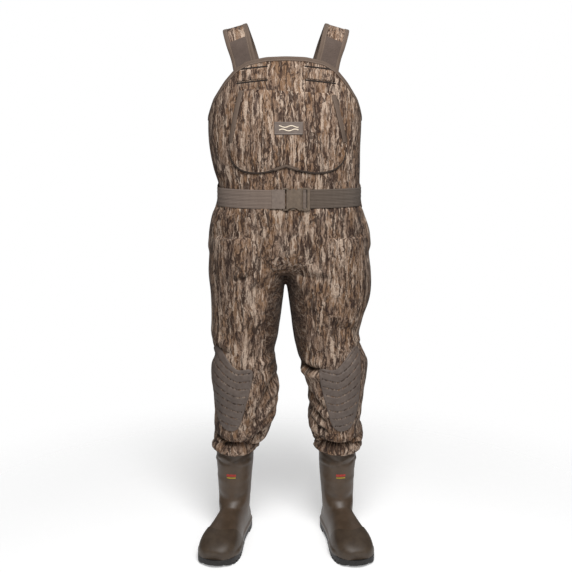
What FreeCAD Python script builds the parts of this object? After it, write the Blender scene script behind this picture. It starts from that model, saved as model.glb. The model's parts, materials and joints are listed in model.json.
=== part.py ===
"""Chest waders as if worn: a neoprene body and legs, shoulder straps, a waist belt and rubber boots.

Row frame: +Z up, the wearer faces -Y, +X is the wearer's left. The origin is on the floor between the boots.
"""
import FreeCAD, Part
import math
import os
from functools import lru_cache

V = FreeCAD.Vector

# ---- driving dimensions, in millimetres ----
BODY_Y = 43.0  # the body's mid plane lies this far behind the origin, because the toes reach forward
NEOPRENE = 5.0
TAPE = 1.4  # the folded edge tape's thickness on each side of the neoprene
TAPE_WIDTH = 11.0
POCKET_GAP = 4.0  # between the body and the pocket's front, at the middle
POCKET_FLATTER = 1.35  # the pocket's front curves less than the body, so it stands off at the hand openings
POCKET_WALL = 3.0
PATCH = 1.6  # sewn patches and hook-and-loop strips
GAP = 0.3  # running gap between pieces that lie on each other

BELT_LOW = 989.0
BELT_WIDTH = 51.0
WEBBING = 1.8
STRAP_WIDTH = 66.0
STRAP_THICK = 5.0

BODY_SPLIT = 905.0  # below this the seat flexes with the thighs
CROTCH = 795.0
THIGH_TOP = 690.0
THIGH_END = 612.0
SHIN_TOP = 388.0
SHIN_END = 292.0
CUFF_END = 270.0
BOOT_TOP = 300.0
ANKLE_TOP = 150.0
ANKLE_END = 80.0
SOLE = 22.0
LUG = 8.0

ANKLE_X = 153.0
ANKLE_Y = 22.0  # behind the body's mid plane
TOE_OUT = 12.0
STRAP_ROOT_LOW = 1262.0  # the strap is sewn inside the back panel from here up to the panel's edge
STRAP_ROOT_END = 1328.0  # and bends up to here when it is lifted

# The body's outline: height, half width, front and back measured from its mid plane.
TORSO = [
    (CROTCH, 135, -66, 84),
    (828, 196, -102, 116),
    (862, 219, -118, 127),
    (920, 217, -123, 121),
    (975, 204, -126, 106),
    (1030, 197, -129, 100),
    (1090, 204, -133, 103),
    (1150, 209, -134, 108),
    (1220, 212, -133, 112),
    (1290, 206, -130, 112),
    (1345, 197, -127, 110),
    (1400, 187, -123, 106),
]
TORSO_POWER = 2.35

# Each leg's outline: height, middle, half width, front and back.
LEG = [
    (896, 106, 98, -98, 106),
    (840, 111, 107, -106, 119),
    (795, 115, 112, -108, 121),
    (700, 117, 101, -105, 109),
    (606, 119, 92, -99, 93),
    (500, 129, 89, -99, 83),
    (400, 136, 78, -80, 95),
    (320, 146, 70, -60, 94),
    (280, 152, 61, -48, 90),
]
LEG_POWER = 2.15

# The foot along its own length, from the ankle axis: forward, half width, top.
FOOT = [
    (-70, 24, 58),
    (-60, 34, 84),
    (-30, 40, 108),
    (25, 42, 116),
    (70, 45, 102),
    (120, 52, 88),
    (165, 57, 79),
    (203, 52, 68),
    (222, 42, 56),
    (233, 27, 44),
]
FOOT_CORNER = 11.0
FOOT_MIDDLE = (FOOT[0][0] + FOOT[-1][0]) / 2
FOOT_REACH = (FOOT[-1][0] - FOOT[0][0]) / 2

# The boot shaft: height, half width, forward reach, backward reach.
SHAFT = [
    (BOOT_TOP, 55, 61, -64),
    (240, 54, 60, -63),
    (185, 50, 56, -61),
    (125, 46, 60, -59),
    (90, 44, 72, -60),
    (45, 40, 62, -61),
]

# The bib's top edge on one side, across and up, from the middle to the side seam.
BIB_EDGE = [(0, 1386), (60, 1384), (115, 1374), (148, 1356), (176, 1323), (202, 1280), (214, 1232)]
BACK_EDGE = [(0, 1302), (45, 1302), (100, 1300), (128, 1287), (160, 1258), (195, 1237), (214, 1232)]

# The pocket's outline from the middle to the side: a notch in its lower edge, round lower corners.
POCKET_LOW = [(0, 1101), (20, 1094), (45, 1087), (85, 1083), (122, 1092), (144, 1115), (149, 1150)]
POCKET_HIGH = [(149, 1150), (141, 1195), (128, 1245), (120, 1292)]
POCKET_TOP = 1304.0

# A strap's middle line on the wearer's left: across, up, and how far inside the body's front or back.
STRAP_FRONT = [(97, 1312, 14.0), (105, 1345, 12.2), (114, 1385, 11.6)]
STRAP_BACK = [(103, 1372, 11.0), (92, STRAP_ROOT_END, 10.2), (88, STRAP_ROOT_END - 16, 10.2)]
# Over the shoulder: across, back from the mid plane, up, how much its outer edge droops and turns back.
STRAP_TOP = [
    (125, -82, 1424, 0.14, 0.28),
    (134, -56, 1456, 0.22, 0.10),
    (138, -14, 1471, 0.28, 0.0),
    (133, 36, 1458, 0.22, -0.10),
    (119, 74, 1419, 0.14, -0.24),
]
STRAP_STEPS = 30
LOOP_TOP = 1432.0  # the loop patch's upper end

BUCKLE_X = -8.0  # the socket's outer end
BUCKLE_LENGTH = 72.0
BUCKLE_HALF = 30.0
BUCKLE_Z = BELT_LOW + BELT_WIDTH / 2
BUCKLE_BACK = -130.2  # the back of the housing, from the body's mid plane
BUCKLE_THICK = 10.5
PLUG_X = 41.0  # where the plug's frame begins
TAIL_END = 132.0
ARM_OUT = 21.0  # middle of a prong's arm, from the buckle's middle
BUCKLE_WALL = 2.3
WEB_ROOM = 1.0  # how much higher the buckle's slots are than the webbing, above and below
SOCKET_BAR = 3.0  # width of the bar that the belt's end is folded round
SOCKET_SLOT = 6.0
SOCKET_FRAME = 14.0  # length of the frame at the socket's outer end
SOCKET_SINK = (4.6, 2.0)  # the socket's bar lies this far inside the front and the back
PLUG_BAR = (6.5, 11.0)  # the plug's bar, from where its frame begins
PLUG_SLOTS = ((3.0, PLUG_BAR[0]), (PLUG_BAR[1], 16.0))
PLUG_SINK = (2.6, 2.2)
PRONG_SINK = BUCKLE_WALL + 0.6
THUMB_RADIUS = 21.0  # the round cut-outs where the fingers reach the prongs
THUMB_X = 27.0
THUMB_OUT = 13.0
FOLD_LENGTH = 30.0  # how far the belt's folded end reaches from the socket

# The knee pad's outline on the wearer's left leg: a rounded shield whose outer corner reaches up.
PAD_EDGE = [
    (91, 525), (106, 540), (130, 536), (144, 541), (160, 560), (178, 584), (192, 597), (203, 594),
    (209, 575), (211, 520), (208, 450), (201, 395), (189, 363), (173, 349), (155, 346), (139, 354),
    (127, 375), (114, 425), (99, 480),
]
PAD_THICK = 1.8


# ---- helpers ----
def signed_power(value, power):
    return math.copysign(abs(value) ** power, value)


def ring(middle_x, half_x, front, back, z, power, grow=0.0, count=28):
    """A closed round-cornered outline at height z, grown outwards by grow."""
    middle_y = (front + back) / 2 + BODY_Y
    reach_x, reach_y = half_x + grow, (back - front) / 2 + grow
    points = []
    for i in range(count):
        angle = 2 * math.pi * i / count
        points.append(V(
            middle_x + reach_x * signed_power(math.cos(angle), 2 / power),
            middle_y + reach_y * signed_power(math.sin(angle), 2 / power),
            z,
        ))
    return closed_curve(points)


def closed_curve(points):
    """A smooth closed curve whose points are evenly spaced in its parameter, so that lofts stay even."""
    count = len(points)
    curve = Part.BSplineCurve()
    curve.interpolate(Points=points, PeriodicFlag=True, Parameters=[i / count for i in range(count + 1)])
    return Part.Wire([curve.toShape()])


def polygon(points):
    return Part.makePolygon(points + points[:1])


def loft(wires):
    return Part.makeLoft(wires, True, False)


def box(low, high):
    return Part.makeBox(high[0] - low[0], high[1] - low[1], high[2] - low[2], V(*low))


def slab(low_z, high_z):
    return box((-400, -400, low_z), (400, 400, high_z))


def fuse(first, *others):
    return first.fuse(list(others)).removeSplitter()


def save(name, shape):
    solids = shape.Solids
    if not solids or not all(s.isValid() for s in solids):
        print("CHECK", name, len(solids), "solids, valid:", [s.isValid() for s in solids])
    out = solids[0] if len(solids) == 1 else Part.makeCompound(solids)
    out.exportStep("parts/" + name + ".step")
    print("%-26s %d solid(s) %9.1f cm3" % (name, len(solids), sum(s.Volume for s in solids) / 1000))


def save_pair(name, left):
    """Writes the wearer's left piece and its mirror image on the right."""
    save(name + "_left", left)
    save(name + "_right", left.mirror(V(0, 0, 0), V(1, 0, 0)))


# ---- the neoprene body ----
@lru_cache(None)
def torso(grow=0.0):
    return loft([ring(0, w, f, b, z, TORSO_POWER, grow) for z, w, f, b in TORSO])


def torso_layer(outside, inside):
    """The layer between two offsets of the body's outline."""
    return torso(outside).cut(torso(inside))


@lru_cache(None)
def leg(grow=0.0):
    return loft([ring(x, w, f, b, z, LEG_POWER, grow) for z, x, w, f, b in LEG])


def body_row(z):
    """The body's half width, front and back at a height."""
    for (z0, *low), (z1, *high) in zip(TORSO, TORSO[1:]):
        if z0 <= z <= z1:
            t = (z - z0) / (z1 - z0)
            return [a + (b - a) * t for a, b in zip(low, high)]


def body_face(x, z, side, inset):
    """Where a face that far inside the body's outer one is at x and z: side is -1 in front, 1 behind."""
    half, front, back = body_row(z)
    shape = (1 - (abs(x) / (half - inset)) ** TORSO_POWER) ** (1 / TORSO_POWER)
    return (front + back) / 2 + side * shape * ((back - front) / 2 - inset)


def leg_layer(outside, inside, low, high):
    return leg(outside).cut(leg(inside)).common(slab(low, high))


def offset_edge(edge, distance):
    """Points beside an edge that runs from the middle outwards; a positive distance is above it."""
    moved = []
    for i, (x, z) in enumerate(edge):
        before, after = edge[max(i - 1, 0)], edge[min(i + 1, len(edge) - 1)]
        along = V(after[0] - before[0], after[1] - before[1], 0)
        if i == 0:
            along = V(1, 0, 0)
        along.normalize()
        moved.append((x - along.y * distance, z + along.x * distance))
    return moved


def edge_prism(edge, distance, front):
    """Everything below an edge, in the front or the back half of the body."""
    moved = offset_edge(edge, distance)
    half = [V(x, 0, z) for x, z in moved]
    points = [V(-p.x, 0, p.z) for p in reversed(half[1:])] + half
    curve = Part.BSplineCurve()
    curve.interpolate(points)
    last = half[-1]
    corners = [last, V(260, 0, last.z), V(260, 0, BODY_SPLIT), V(-260, 0, BODY_SPLIT), V(-260, 0, last.z),
               V(-last.x, 0, last.z)]
    edges = [curve.toShape()] + [Part.LineSegment(a, b).toShape() for a, b in zip(corners, corners[1:])]
    face = Part.Face(Part.Wire(edges))
    face.translate(V(0, BODY_Y, 0))
    return face.extrude(V(0, -200 if front else 200, 0))


def body_panels():
    shell = torso_layer(0, -NEOPRENE)
    front = shell.common(edge_prism(BIB_EDGE, 0, True))
    back = shell.common(edge_prism(BACK_EDGE, 0, False))
    save("bib_front", front)
    save("back_panel", back)
    wrap = torso_layer(TAPE, -NEOPRENE - TAPE)
    pieces = []
    for edge, panel, is_front in ((BIB_EDGE, front, True), (BACK_EDGE, back, False)):
        band = edge_prism(edge, TAPE, is_front).cut(edge_prism(edge, -TAPE_WIDTH, is_front))
        pieces.append(wrap.common(band).cut(panel))
    save("top_binding", Part.makeCompound([s for p in pieces for s in p.Solids]))
    return front


def front_prism(wire):
    """A pillar through the front half of the body with the given outline in X and Z."""
    face = Part.Face(wire)
    face.translate(V(0, BODY_Y, 0))
    return face.extrude(V(0, -200, 0))


def rectangle(x0, x1, z0, z1):
    return polygon([V(x0, 0, z0), V(x1, 0, z0), V(x1, 0, z1), V(x0, 0, z1)])


def pocket_outline(inset, side_inset):
    """The pocket's outline, drawn in by inset above and below and by side_inset at the hand openings."""
    low = [(min(x, POCKET_LOW[-1][0] - side_inset), z) for x, z in offset_edge(POCKET_LOW, inset)]
    high = [(x - side_inset, z) for x, z in POCKET_HIGH[1:]]
    half = [V(x, 0, z) for x, z in low]
    side = [V(x, 0, z) for x, z in high] + [V(high[-1][0] - 8, 0, POCKET_TOP - inset)]
    curve = Part.BSplineCurve()
    curve.interpolate([V(-p.x, 0, p.z) for p in reversed(half[1:])] + half)
    left = [half[-1]] + side
    corners = left + [V(-p.x, 0, p.z) for p in reversed(left)]
    edges = [curve.toShape()] + [Part.LineSegment(a, b).toShape() for a, b in zip(corners, corners[1:])]
    return Part.Wire(edges)


@lru_cache(None)
def pocket_form(grow):
    """Like the body's front but flatter from side to side, and grown forwards."""
    rows = [row for row in TORSO if 1030 <= row[0] <= 1400]
    return loft([ring(0, w * POCKET_FLATTER, f - grow, b, z, TORSO_POWER) for z, w, f, b in rows])


def chest_pocket():
    seam, tape = 7.0, 9.0
    outside = POCKET_GAP + POCKET_WALL
    body = pocket_form(outside).cut(torso(0)).common(front_prism(pocket_outline(0, 0)))
    hollow = pocket_form(POCKET_GAP).common(front_prism(pocket_outline(seam, -20)))
    pocket = body.cut(hollow)
    save("chest_pocket", pocket)
    outer = [(x + TAPE, z) for x, z in POCKET_HIGH]
    strip = outer + [(x - tape, z) for x, z in reversed(POCKET_HIGH)]
    rim = pocket_form(outside + TAPE).cut(pocket_form(POCKET_GAP - TAPE))
    rim = rim.common(front_prism(polygon([V(x, 0, z) for x, z in strip]))).cut(pocket)
    save_pair("pocket_binding", rim)
    label = pocket_form(outside + PATCH).cut(pocket_form(outside))
    save("label_patch", label.common(front_prism(rectangle(-32, 44, 1184, 1219))))


def strap_fixings():
    keeper = torso_layer(PATCH + 0.6, 0).common(front_prism(rectangle(50, 128, 1324, 1352)))
    save_pair("strap_keeper", keeper)
    hook = torso_layer(-NEOPRENE - 0.05, -NEOPRENE - PATCH)
    hook = hook.common(front_prism(rectangle(58, 132, 1316, 1346)))
    save_pair("hook_patch", hook)


# ---- shoulder straps ----
@lru_cache(None)
def strap_frames():
    """Points along the strap with the directions across it and out of its outer face."""
    half = STRAP_WIDTH / 2

    def against(x, z, depth, side):
        ends = [V(e, body_face(e, z, side, depth) + BODY_Y, z) for e in (x - half, x + half)]
        return (ends[0] + ends[1]) / 2, ends[1] - ends[0]

    front = [against(x, z, depth, -1) for x, z, depth in STRAP_FRONT]
    top = [(V(x, y + BODY_Y, z), V(1, turn, -droop)) for x, y, z, droop, turn in STRAP_TOP]
    back = [against(x, z, depth, 1) for x, z, depth in STRAP_BACK]
    line = front + top + back
    middle, edge = through([p for p, _ in line]), through([p + a.normalize() * half for p, a in line])
    frames = []
    for i in range(STRAP_STEPS + 1):
        t = i / STRAP_STEPS
        p, along = middle.value(t), middle.tangent(t)[0]
        across = edge.value(t) - p
        across = across - along * across.dot(along)
        across.normalize()
        frames.append((p, across, across.cross(along)))
    return frames


def through(points):
    """A smooth open curve whose points are evenly spaced in its parameter, from 0 to 1."""
    last = len(points) - 1
    curve = Part.BSplineCurve()
    curve.interpolate(Points=points, Parameters=[i / last for i in range(last + 1)])
    return curve


def strap_piece(from_side, to_side, low, high):
    """A strip of the strap between two places across it and two heights over its middle surface."""
    wires = []
    for p, across, out in strap_frames():
        wires.append(polygon([
            p + across * from_side + out * low, p + across * to_side + out * low,
            p + across * to_side + out * high, p + across * from_side + out * high,
        ]))
    return Part.makeLoft(wires, True, True)


def shoulder_strap():
    half, thick = STRAP_WIDTH / 2, STRAP_THICK / 2
    below_seam = box((0, BODY_Y, 1200), (300, 300, STRAP_ROOT_END))
    strap = strap_piece(-half, half, -thick, thick).cut(below_seam)
    save_pair("shoulder_strap", strap)
    edge = 8.0
    tapes = [strap_piece(s * (half - edge), s * (half + TAPE), -thick - TAPE, thick + TAPE) for s in (1, -1)]
    tapes = [tape.cut(strap).cut(below_seam) for tape in tapes]
    save_pair("strap_binding", Part.makeCompound([s for t in tapes for s in t.Solids]))
    loop_half = half - edge - 1
    loop = strap_piece(-loop_half, loop_half, thick + 0.1, thick + 1.2).cut(strap)
    loop = loop.common(box((0, -200, 1300), (300, BODY_Y - 70, LOOP_TOP)))
    save_pair("loop_patch", loop)
    x = STRAP_BACK[-1][0]
    inside = NEOPRENE + TAPE + GAP
    root = torso_layer(-inside, -inside - STRAP_THICK)
    face = Part.Face(rectangle(x - half, x + half, STRAP_ROOT_LOW, STRAP_ROOT_END - GAP))
    face.translate(V(0, BODY_Y, 0))
    save_pair("strap_root", root.common(face.extrude(V(0, 200, 0))))


# ---- belt and buckle ----
def plan_sheet(points, z0, z1):
    """A closed outline seen from above, given from the mid plane, raised from z0 to z1."""
    face = Part.Face(polygon([V(x, y + BODY_Y, z0) for x, y in points]))
    return face.extrude(V(0, 0, z1 - z0))


def belt():
    z0, z1 = BELT_LOW, BELT_LOW + BELT_WIDTH
    band = torso_layer(GAP + WEBBING, GAP).common(slab(z0, z1))
    front_gap = box((BUCKLE_X - FOLD_LENGTH, -400, z0 - 5), (PLUG_X + 27, BODY_Y - 60, z1 + 5))
    save("belt_webbing", band.cut(front_gap))
    save("belt_end_fold", end_fold(z0, z1))
    loops = torso_layer(2 * GAP + 2 * WEBBING, 0).common(slab(z0 - 14, z1 + 14))
    loops = loops.cut(torso_layer(2 * GAP + WEBBING, -1).common(slab(z0 - 3, z1 + 3)))
    for name, angle in (("right", 160.0), ("left", 20.0), ("back", 90.0)):
        keep = Part.makeBox(400, 24, 120, V(0, -12, z0 - 30))
        keep.rotate(V(0, 0, 0), V(0, 0, 1), angle)
        keep.translate(V(0, BODY_Y, 0))
        save("belt_loop_" + name, loops.common(keep))


def end_fold(z0, z1):
    """The belt's end, folded round the socket's bar and back on itself."""
    web_front = BUCKLE_BACK - BUCKLE_THICK + SOCKET_SINK[0] - GAP
    web_back = BUCKLE_BACK - SOCKET_SINK[1] + GAP
    end, near, tip = BUCKLE_X - FOLD_LENGTH - 0.1, BUCKLE_X - 3, BUCKLE_X + SOCKET_BAR + GAP
    far_front, far_back = BUCKLE_BACK - 2.6, BUCKLE_BACK + 1.5
    outer = [
        (end, far_back), (end, far_front),
        (near, web_front - WEBBING), (tip + WEBBING, web_front - WEBBING),
        (tip + WEBBING, web_back + WEBBING), (near, web_back + WEBBING),
    ]
    inner = [
        (end + 6, far_front + 2.0),
        (near, web_front), (tip, web_front), (tip, web_back), (near, web_back),
    ]
    fold = plan_sheet(outer, z0, z1).cut(plan_sheet(inner, z0 - 1, z1 + 1))
    return fold.cut(torso(GAP))


def rounded(shape, radius, keep=lambda edge: True):
    """Rounds the chosen edges, or as many of them as will take it."""
    edges = [e for e in shape.Edges if keep(e)]
    try:
        done = shape.makeFillet(radius, edges)
        if done.isValid():
            return done
    except Exception:
        pass
    return shape


def along_y(edge):
    a, b = edge.Vertexes[0].Point, edge.Vertexes[-1].Point
    return abs(a.x - b.x) < 1e-6 and abs(a.z - b.z) < 1e-6 and abs(a.y - b.y) > 1e-3


def flat_at(y):
    """Chooses the edges that lie in the plane at y."""
    return lambda edge: abs(edge.BoundBox.YMin - y) < 1e-3 and abs(edge.BoundBox.YMax - y) < 1e-3


def buckle_block(x0, x1, half, y0, y1, radius):
    block = box((x0, y0, BUCKLE_Z - half), (x1, y1, BUCKLE_Z + half))
    return rounded(block, radius, along_y)


def web_slot(x0, x1, y0, y1):
    """An opening in the buckle, as high as the webbing with a little room."""
    half = BELT_WIDTH / 2 + WEB_ROOM
    return box((x0, y0, BUCKLE_Z - half), (x1, y1, BUCKLE_Z + half))


def buckle_socket():
    """Two plates with cut-outs for the fingers, joined to a frame whose outer bar holds the belt's end."""
    back, front = BUCKLE_BACK + BODY_Y, BUCKLE_BACK - BUCKLE_THICK + BODY_Y
    bar_end = BUCKLE_X + SOCKET_BAR
    slot_end = bar_end + SOCKET_SLOT
    frame_end = BUCKLE_X + SOCKET_FRAME
    mouth = PLUG_X - 0.4
    plates = buckle_block(slot_end, mouth, BUCKLE_HALF, front, back, 2.5)
    plates = rounded(plates, 1.2, flat_at(front))
    inside = (frame_end, front + BUCKLE_WALL, BUCKLE_Z - 40), (mouth + 1, back - BUCKLE_WALL, BUCKLE_Z + 40)
    housing = plates.cut(box(*inside))
    for side in (1, -1):
        centre = V(BUCKLE_X + THUMB_X, front - 5, BUCKLE_Z + side * (BUCKLE_HALF + THUMB_OUT))
        housing = housing.cut(Part.makeCylinder(THUMB_RADIUS, 40, centre, V(0, 1, 0)))
    frame = buckle_block(BUCKLE_X, frame_end, BUCKLE_HALF, front + 2.4, back - 0.8, 3.0)
    frame = frame.cut(web_slot(BUCKLE_X - 1, bar_end + 0.01, front + 2, front + SOCKET_SINK[0]))
    frame = frame.cut(web_slot(BUCKLE_X - 1, bar_end + 0.01, back - SOCKET_SINK[1], back))
    save("buckle_socket", fuse(housing, frame).cut(web_slot(bar_end, slot_end, front - 1, back + 1)))


def buckle_plug():
    """A frame with two slots for the webbing and a guide between the prongs."""
    back, front = BUCKLE_BACK + BODY_Y, BUCKLE_BACK - BUCKLE_THICK + BODY_Y
    end = BUCKLE_X + BUCKLE_LENGTH
    frame = buckle_block(PLUG_X, end, BUCKLE_HALF, front + 1, back - PLUG_SINK[1], 3.0)
    for start, stop in PLUG_SLOTS:
        frame = frame.cut(web_slot(PLUG_X + start, PLUG_X + stop, front - 2, back + 2))
    prong_front, prong_back = front + PRONG_SINK, back - PRONG_SINK
    guide = box((BUCKLE_X + 18, prong_front, BUCKLE_Z - 9), (PLUG_X + 1, prong_back, BUCKLE_Z + 9))
    guide = guide.cut(box((BUCKLE_X + 24, front, BUCKLE_Z - 5), (PLUG_X - 4, back, BUCKLE_Z + 5)))
    bar_start, bar_stop = PLUG_X + PLUG_BAR[0], PLUG_X + PLUG_BAR[1]
    above_bar = web_slot(bar_start, bar_stop, front + 1, front + PLUG_SINK[0])
    save("buckle_plug", fuse(frame.cut(above_bar), guide))
    save("belt_tail", belt_tail(front, back))
    for name, side in (("upper", 1), ("lower", -1)):
        save("buckle_prong_" + name, prong(side, prong_front, prong_back))


def belt_tail(front, back):
    """Webbing that goes round the plug's bar and runs on over the belt."""
    z0, z1 = BELT_LOW, BELT_LOW + BELT_WIDTH
    x0, x1 = PLUG_X + PLUG_BAR[0] - 0.2, PLUG_X + PLUG_BAR[1] + 0.2
    y0, y1 = front + PLUG_SINK[0] - 0.2, back - PLUG_SINK[1] + 0.2
    around = box((x0 - WEBBING, y0 - WEBBING, z0), (x1 + WEBBING, y1 + WEBBING, z1))
    around = around.cut(box((x0, y0, z0 - 1), (x1, y1, z1 + 1)))
    low = 2 * GAP + WEBBING
    tail = torso_layer(low + WEBBING, low)
    tail = tail.common(box((PLUG_X + PLUG_BAR[1] - 2, -300, z0), (TAIL_END, 0, z1)))
    return fuse(around, tail)


def prong(side, front, back):
    """A sprung arm that ends in a thumb pad."""
    x0, root = BUCKLE_X + 17, PLUG_X - 0.8
    arm = box((x0, front, BUCKLE_Z + side * ARM_OUT - 3), (root, back, BUCKLE_Z + side * ARM_OUT + 3))
    pad = Part.makeCylinder(8.5, back - front, V(x0 + 10, front, BUCKLE_Z + side * (ARM_OUT - 1)), V(0, 1, 0))
    inner = BUCKLE_Z + side * (ARM_OUT - 3)
    outer = BUCKLE_Z + side * (BUCKLE_HALF - 0.5)
    keep = box((x0 - 5, front - 1, min(inner, outer)), (root, back + 1, max(inner, outer)))
    return fuse(arm, pad.common(keep))


# ---- legs ----
def seat():
    """One half of the seat and the top of its thigh, as one hollow shell."""
    half_space = box((0, -400, THIGH_TOP + GAP), (400, 400, BODY_SPLIT))
    outside = fuse(torso(0), leg(0)).common(half_space)
    floor = slab(CROTCH + NEOPRENE, BODY_SPLIT + 10)
    inside = fuse(torso(-NEOPRENE).common(floor), leg(-NEOPRENE))
    return outside.cut(inside)


def front_of_leg(points):
    """A pillar through the front of the left leg with the given outline in X and Z."""
    face = Part.Face(polygon([V(x, 0, z) for x, z in points]))
    face.translate(V(0, BODY_Y - 5, 0))
    return face.extrude(V(0, -200, 0))


def knee_pad():
    return leg_layer(PAD_THICK, 0.1, 320, 600).common(front_of_leg(PAD_EDGE))


def legs():
    save_pair("seat", seat())
    save_pair("thigh", leg_layer(0, -NEOPRENE, THIGH_END, THIGH_TOP))
    save_pair("knee_section", leg_layer(0, -NEOPRENE, SHIN_TOP, THIGH_END - GAP))
    save_pair("knee_pad", knee_pad())
    save_pair("shin", leg_layer(0, -NEOPRENE, SHIN_END, SHIN_TOP))
    rim = SHAFT[0][1:]
    flare = ((CUFF_END, 5.0), (CUFF_END + 8, 7.0), (SHIN_END, 8.0))
    outer = loft([shaft_ring(z, *rim, grow) for z, grow in flare])
    inner = loft([shaft_ring(z, *rim, 2 * GAP) for z in (CUFF_END - 2, SHIN_END + 2)])
    save_pair("leg_cuff", place_boot(outer.cut(inner)))


# ---- boots ----
def foot_ring(forward, half, top, grow):
    """A section across the foot: flat below with round corners, domed above."""
    points = []
    low = SOLE - grow
    corner = min(FOOT_CORNER, 0.4 * (top + grow - low))
    for i in range(24):
        angle = 2 * math.pi * i / 24
        across = (half + grow) * signed_power(math.cos(angle), 2 / 2.6)
        rise = math.sin(angle)
        if rise >= 0:
            z = low + corner + (top + grow - low - corner) * rise ** (2 / 2.2)
        else:
            z = low + corner - corner * (-rise) ** (2 / 3.0)
        points.append(V(across, -(forward + grow * (forward - FOOT_MIDDLE) / FOOT_REACH), z))
    return closed_curve(points)


def shaft_ring(z, half, ahead, behind, grow):
    middle, reach = (ahead + behind) / 2, (ahead - behind) / 2 + grow
    points = []
    for i in range(24):
        angle = 2 * math.pi * i / 24
        points.append(V((half + grow) * math.cos(angle), -middle + reach * math.sin(angle), z))
    return closed_curve(points)


def place_boot(shape):
    shape = shape.copy()
    shape.rotate(V(0, 0, 0), V(0, 0, 1), TOE_OUT)
    shape.translate(V(ANKLE_X, BODY_Y + ANKLE_Y, 0))
    return shape


def foot_form(grow):
    """The foot's outline above the sole, in the boot's own frame, with the toes towards -Y."""
    return loft([foot_ring(u, w, t, grow) for u, w, t in FOOT])


def boot_form(grow):
    foot = foot_form(grow)
    shaft = loft([shaft_ring(z, w, a, b, grow) for z, w, a, b in SHAFT])
    return fuse(foot, shaft)


def plan(grow, z):
    """The sole's outline seen from below."""
    right = [V(w + grow, -u, z) for u, w, _ in FOOT]
    left = [V(-w - grow, -u, z) for u, w, _ in reversed(FOOT)]
    heel = V(0, -(FOOT[0][0] - 6 - grow), z)
    toe = V(0, -(FOOT[-1][0] + 7 + grow), z)
    return Part.Face(closed_curve([heel] + right + [toe] + left))


def outsole():
    base = plan(2.5, LUG).extrude(V(0, 0, SOLE - LUG))
    tread = plan(2.0, 0).extrude(V(0, 0, LUG))
    bars = [box((-90, -u - 12, 0), (90, -u, LUG + 1)) for u in range(72, 238, 18)]
    bars += [box((-90, -u - 14, 0), (90, -u, LUG + 1)) for u in range(-80, 0, 20)]
    lugs = tread.common(Part.makeCompound(bars))
    groove = box((-4, -260, -1), (4, -70, LUG))
    lugs = lugs.cut(groove)
    spring = Part.makeBox(200, 120, 40, V(-100, -120, -40))
    spring.rotate(V(0, 0, 0), V(1, 0, 0), -9)
    spring.translate(V(0, -196, 0.0))
    return fuse(base, *lugs.Solids).cut(spring)


def boots():
    outside, middle, inside = boot_form(0), boot_form(-2.6), boot_form(-5.6)
    wall = outside.cut(middle)
    lining = middle.cut(inside)
    open_top = slab(BOOT_TOP - 1, BOOT_TOP + 5)
    shaft = wall.common(slab(ANKLE_TOP, BOOT_TOP)).cut(open_top)
    save_pair("boot_shaft", place_boot(shaft))
    save_pair("boot_lining", place_boot(lining.common(slab(ANKLE_TOP, BOOT_TOP)).cut(open_top)))
    save_pair("boot_ankle", place_boot(outside.cut(inside).common(slab(ANKLE_END, ANKLE_TOP - GAP))))
    save_pair("boot_foot", place_boot(outside.cut(inside).common(slab(0, ANKLE_END))))
    rand = foot_form(1.6).cut(foot_form(0))
    save_pair("toe_rand", place_boot(rand.common(box((-100, -300, SOLE), (100, -172, 100)))))
    sock = foot_form(-6.4).common(slab(SOLE + 8.0, SOLE + 12.0))
    save_pair("insole", place_boot(sock))
    save_pair("outsole", place_boot(outsole()))


os.makedirs("parts", exist_ok=True)
body_panels()
chest_pocket()
strap_fixings()
shoulder_strap()
belt()
buckle_socket()
buckle_plug()
legs()
boots()
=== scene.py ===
import json
import math

import bmesh
import bpy
import numpy as np
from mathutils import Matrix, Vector, noise
from mathutils.bvhtree import BVHTree

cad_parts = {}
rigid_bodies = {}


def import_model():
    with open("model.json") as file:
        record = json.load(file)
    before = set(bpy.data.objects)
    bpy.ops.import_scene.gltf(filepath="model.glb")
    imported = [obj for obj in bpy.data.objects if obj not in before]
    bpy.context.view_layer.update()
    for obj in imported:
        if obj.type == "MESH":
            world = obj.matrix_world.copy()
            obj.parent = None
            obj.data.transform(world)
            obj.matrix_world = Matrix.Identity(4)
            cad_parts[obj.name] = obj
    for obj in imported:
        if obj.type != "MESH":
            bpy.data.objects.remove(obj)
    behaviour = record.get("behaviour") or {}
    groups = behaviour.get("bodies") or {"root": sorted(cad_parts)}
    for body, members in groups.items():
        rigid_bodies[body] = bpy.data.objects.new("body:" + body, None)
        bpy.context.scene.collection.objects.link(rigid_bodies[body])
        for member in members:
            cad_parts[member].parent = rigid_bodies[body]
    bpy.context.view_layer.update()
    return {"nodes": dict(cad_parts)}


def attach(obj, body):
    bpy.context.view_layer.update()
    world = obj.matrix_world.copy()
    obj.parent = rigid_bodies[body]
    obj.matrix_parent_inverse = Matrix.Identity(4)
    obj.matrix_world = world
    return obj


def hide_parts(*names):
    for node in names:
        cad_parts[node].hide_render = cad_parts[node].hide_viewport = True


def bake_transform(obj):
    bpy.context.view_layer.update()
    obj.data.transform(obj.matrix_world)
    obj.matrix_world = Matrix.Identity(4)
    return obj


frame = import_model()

SIDES = (("left", 1), ("right", -1))

# ---- driving dimensions, in metres ----
BODY_Y = 0.043  # the body's mid plane
NEOPRENE = 0.005
WAIST_SEAM = 1.012  # hidden behind the belt
HIP_TOP, KNEE_TOP, KNEE_END = 0.805, 0.585, 0.395  # heights at the hip, the knee's top and the knee's end; the hip, thigh and shin pieces are cut apart at the first two
HEM = 0.268
BELT_LOW, BELT_HIGH = 0.989, 1.040
TAPE = 0.0095
VOXEL = 0.005

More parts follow.
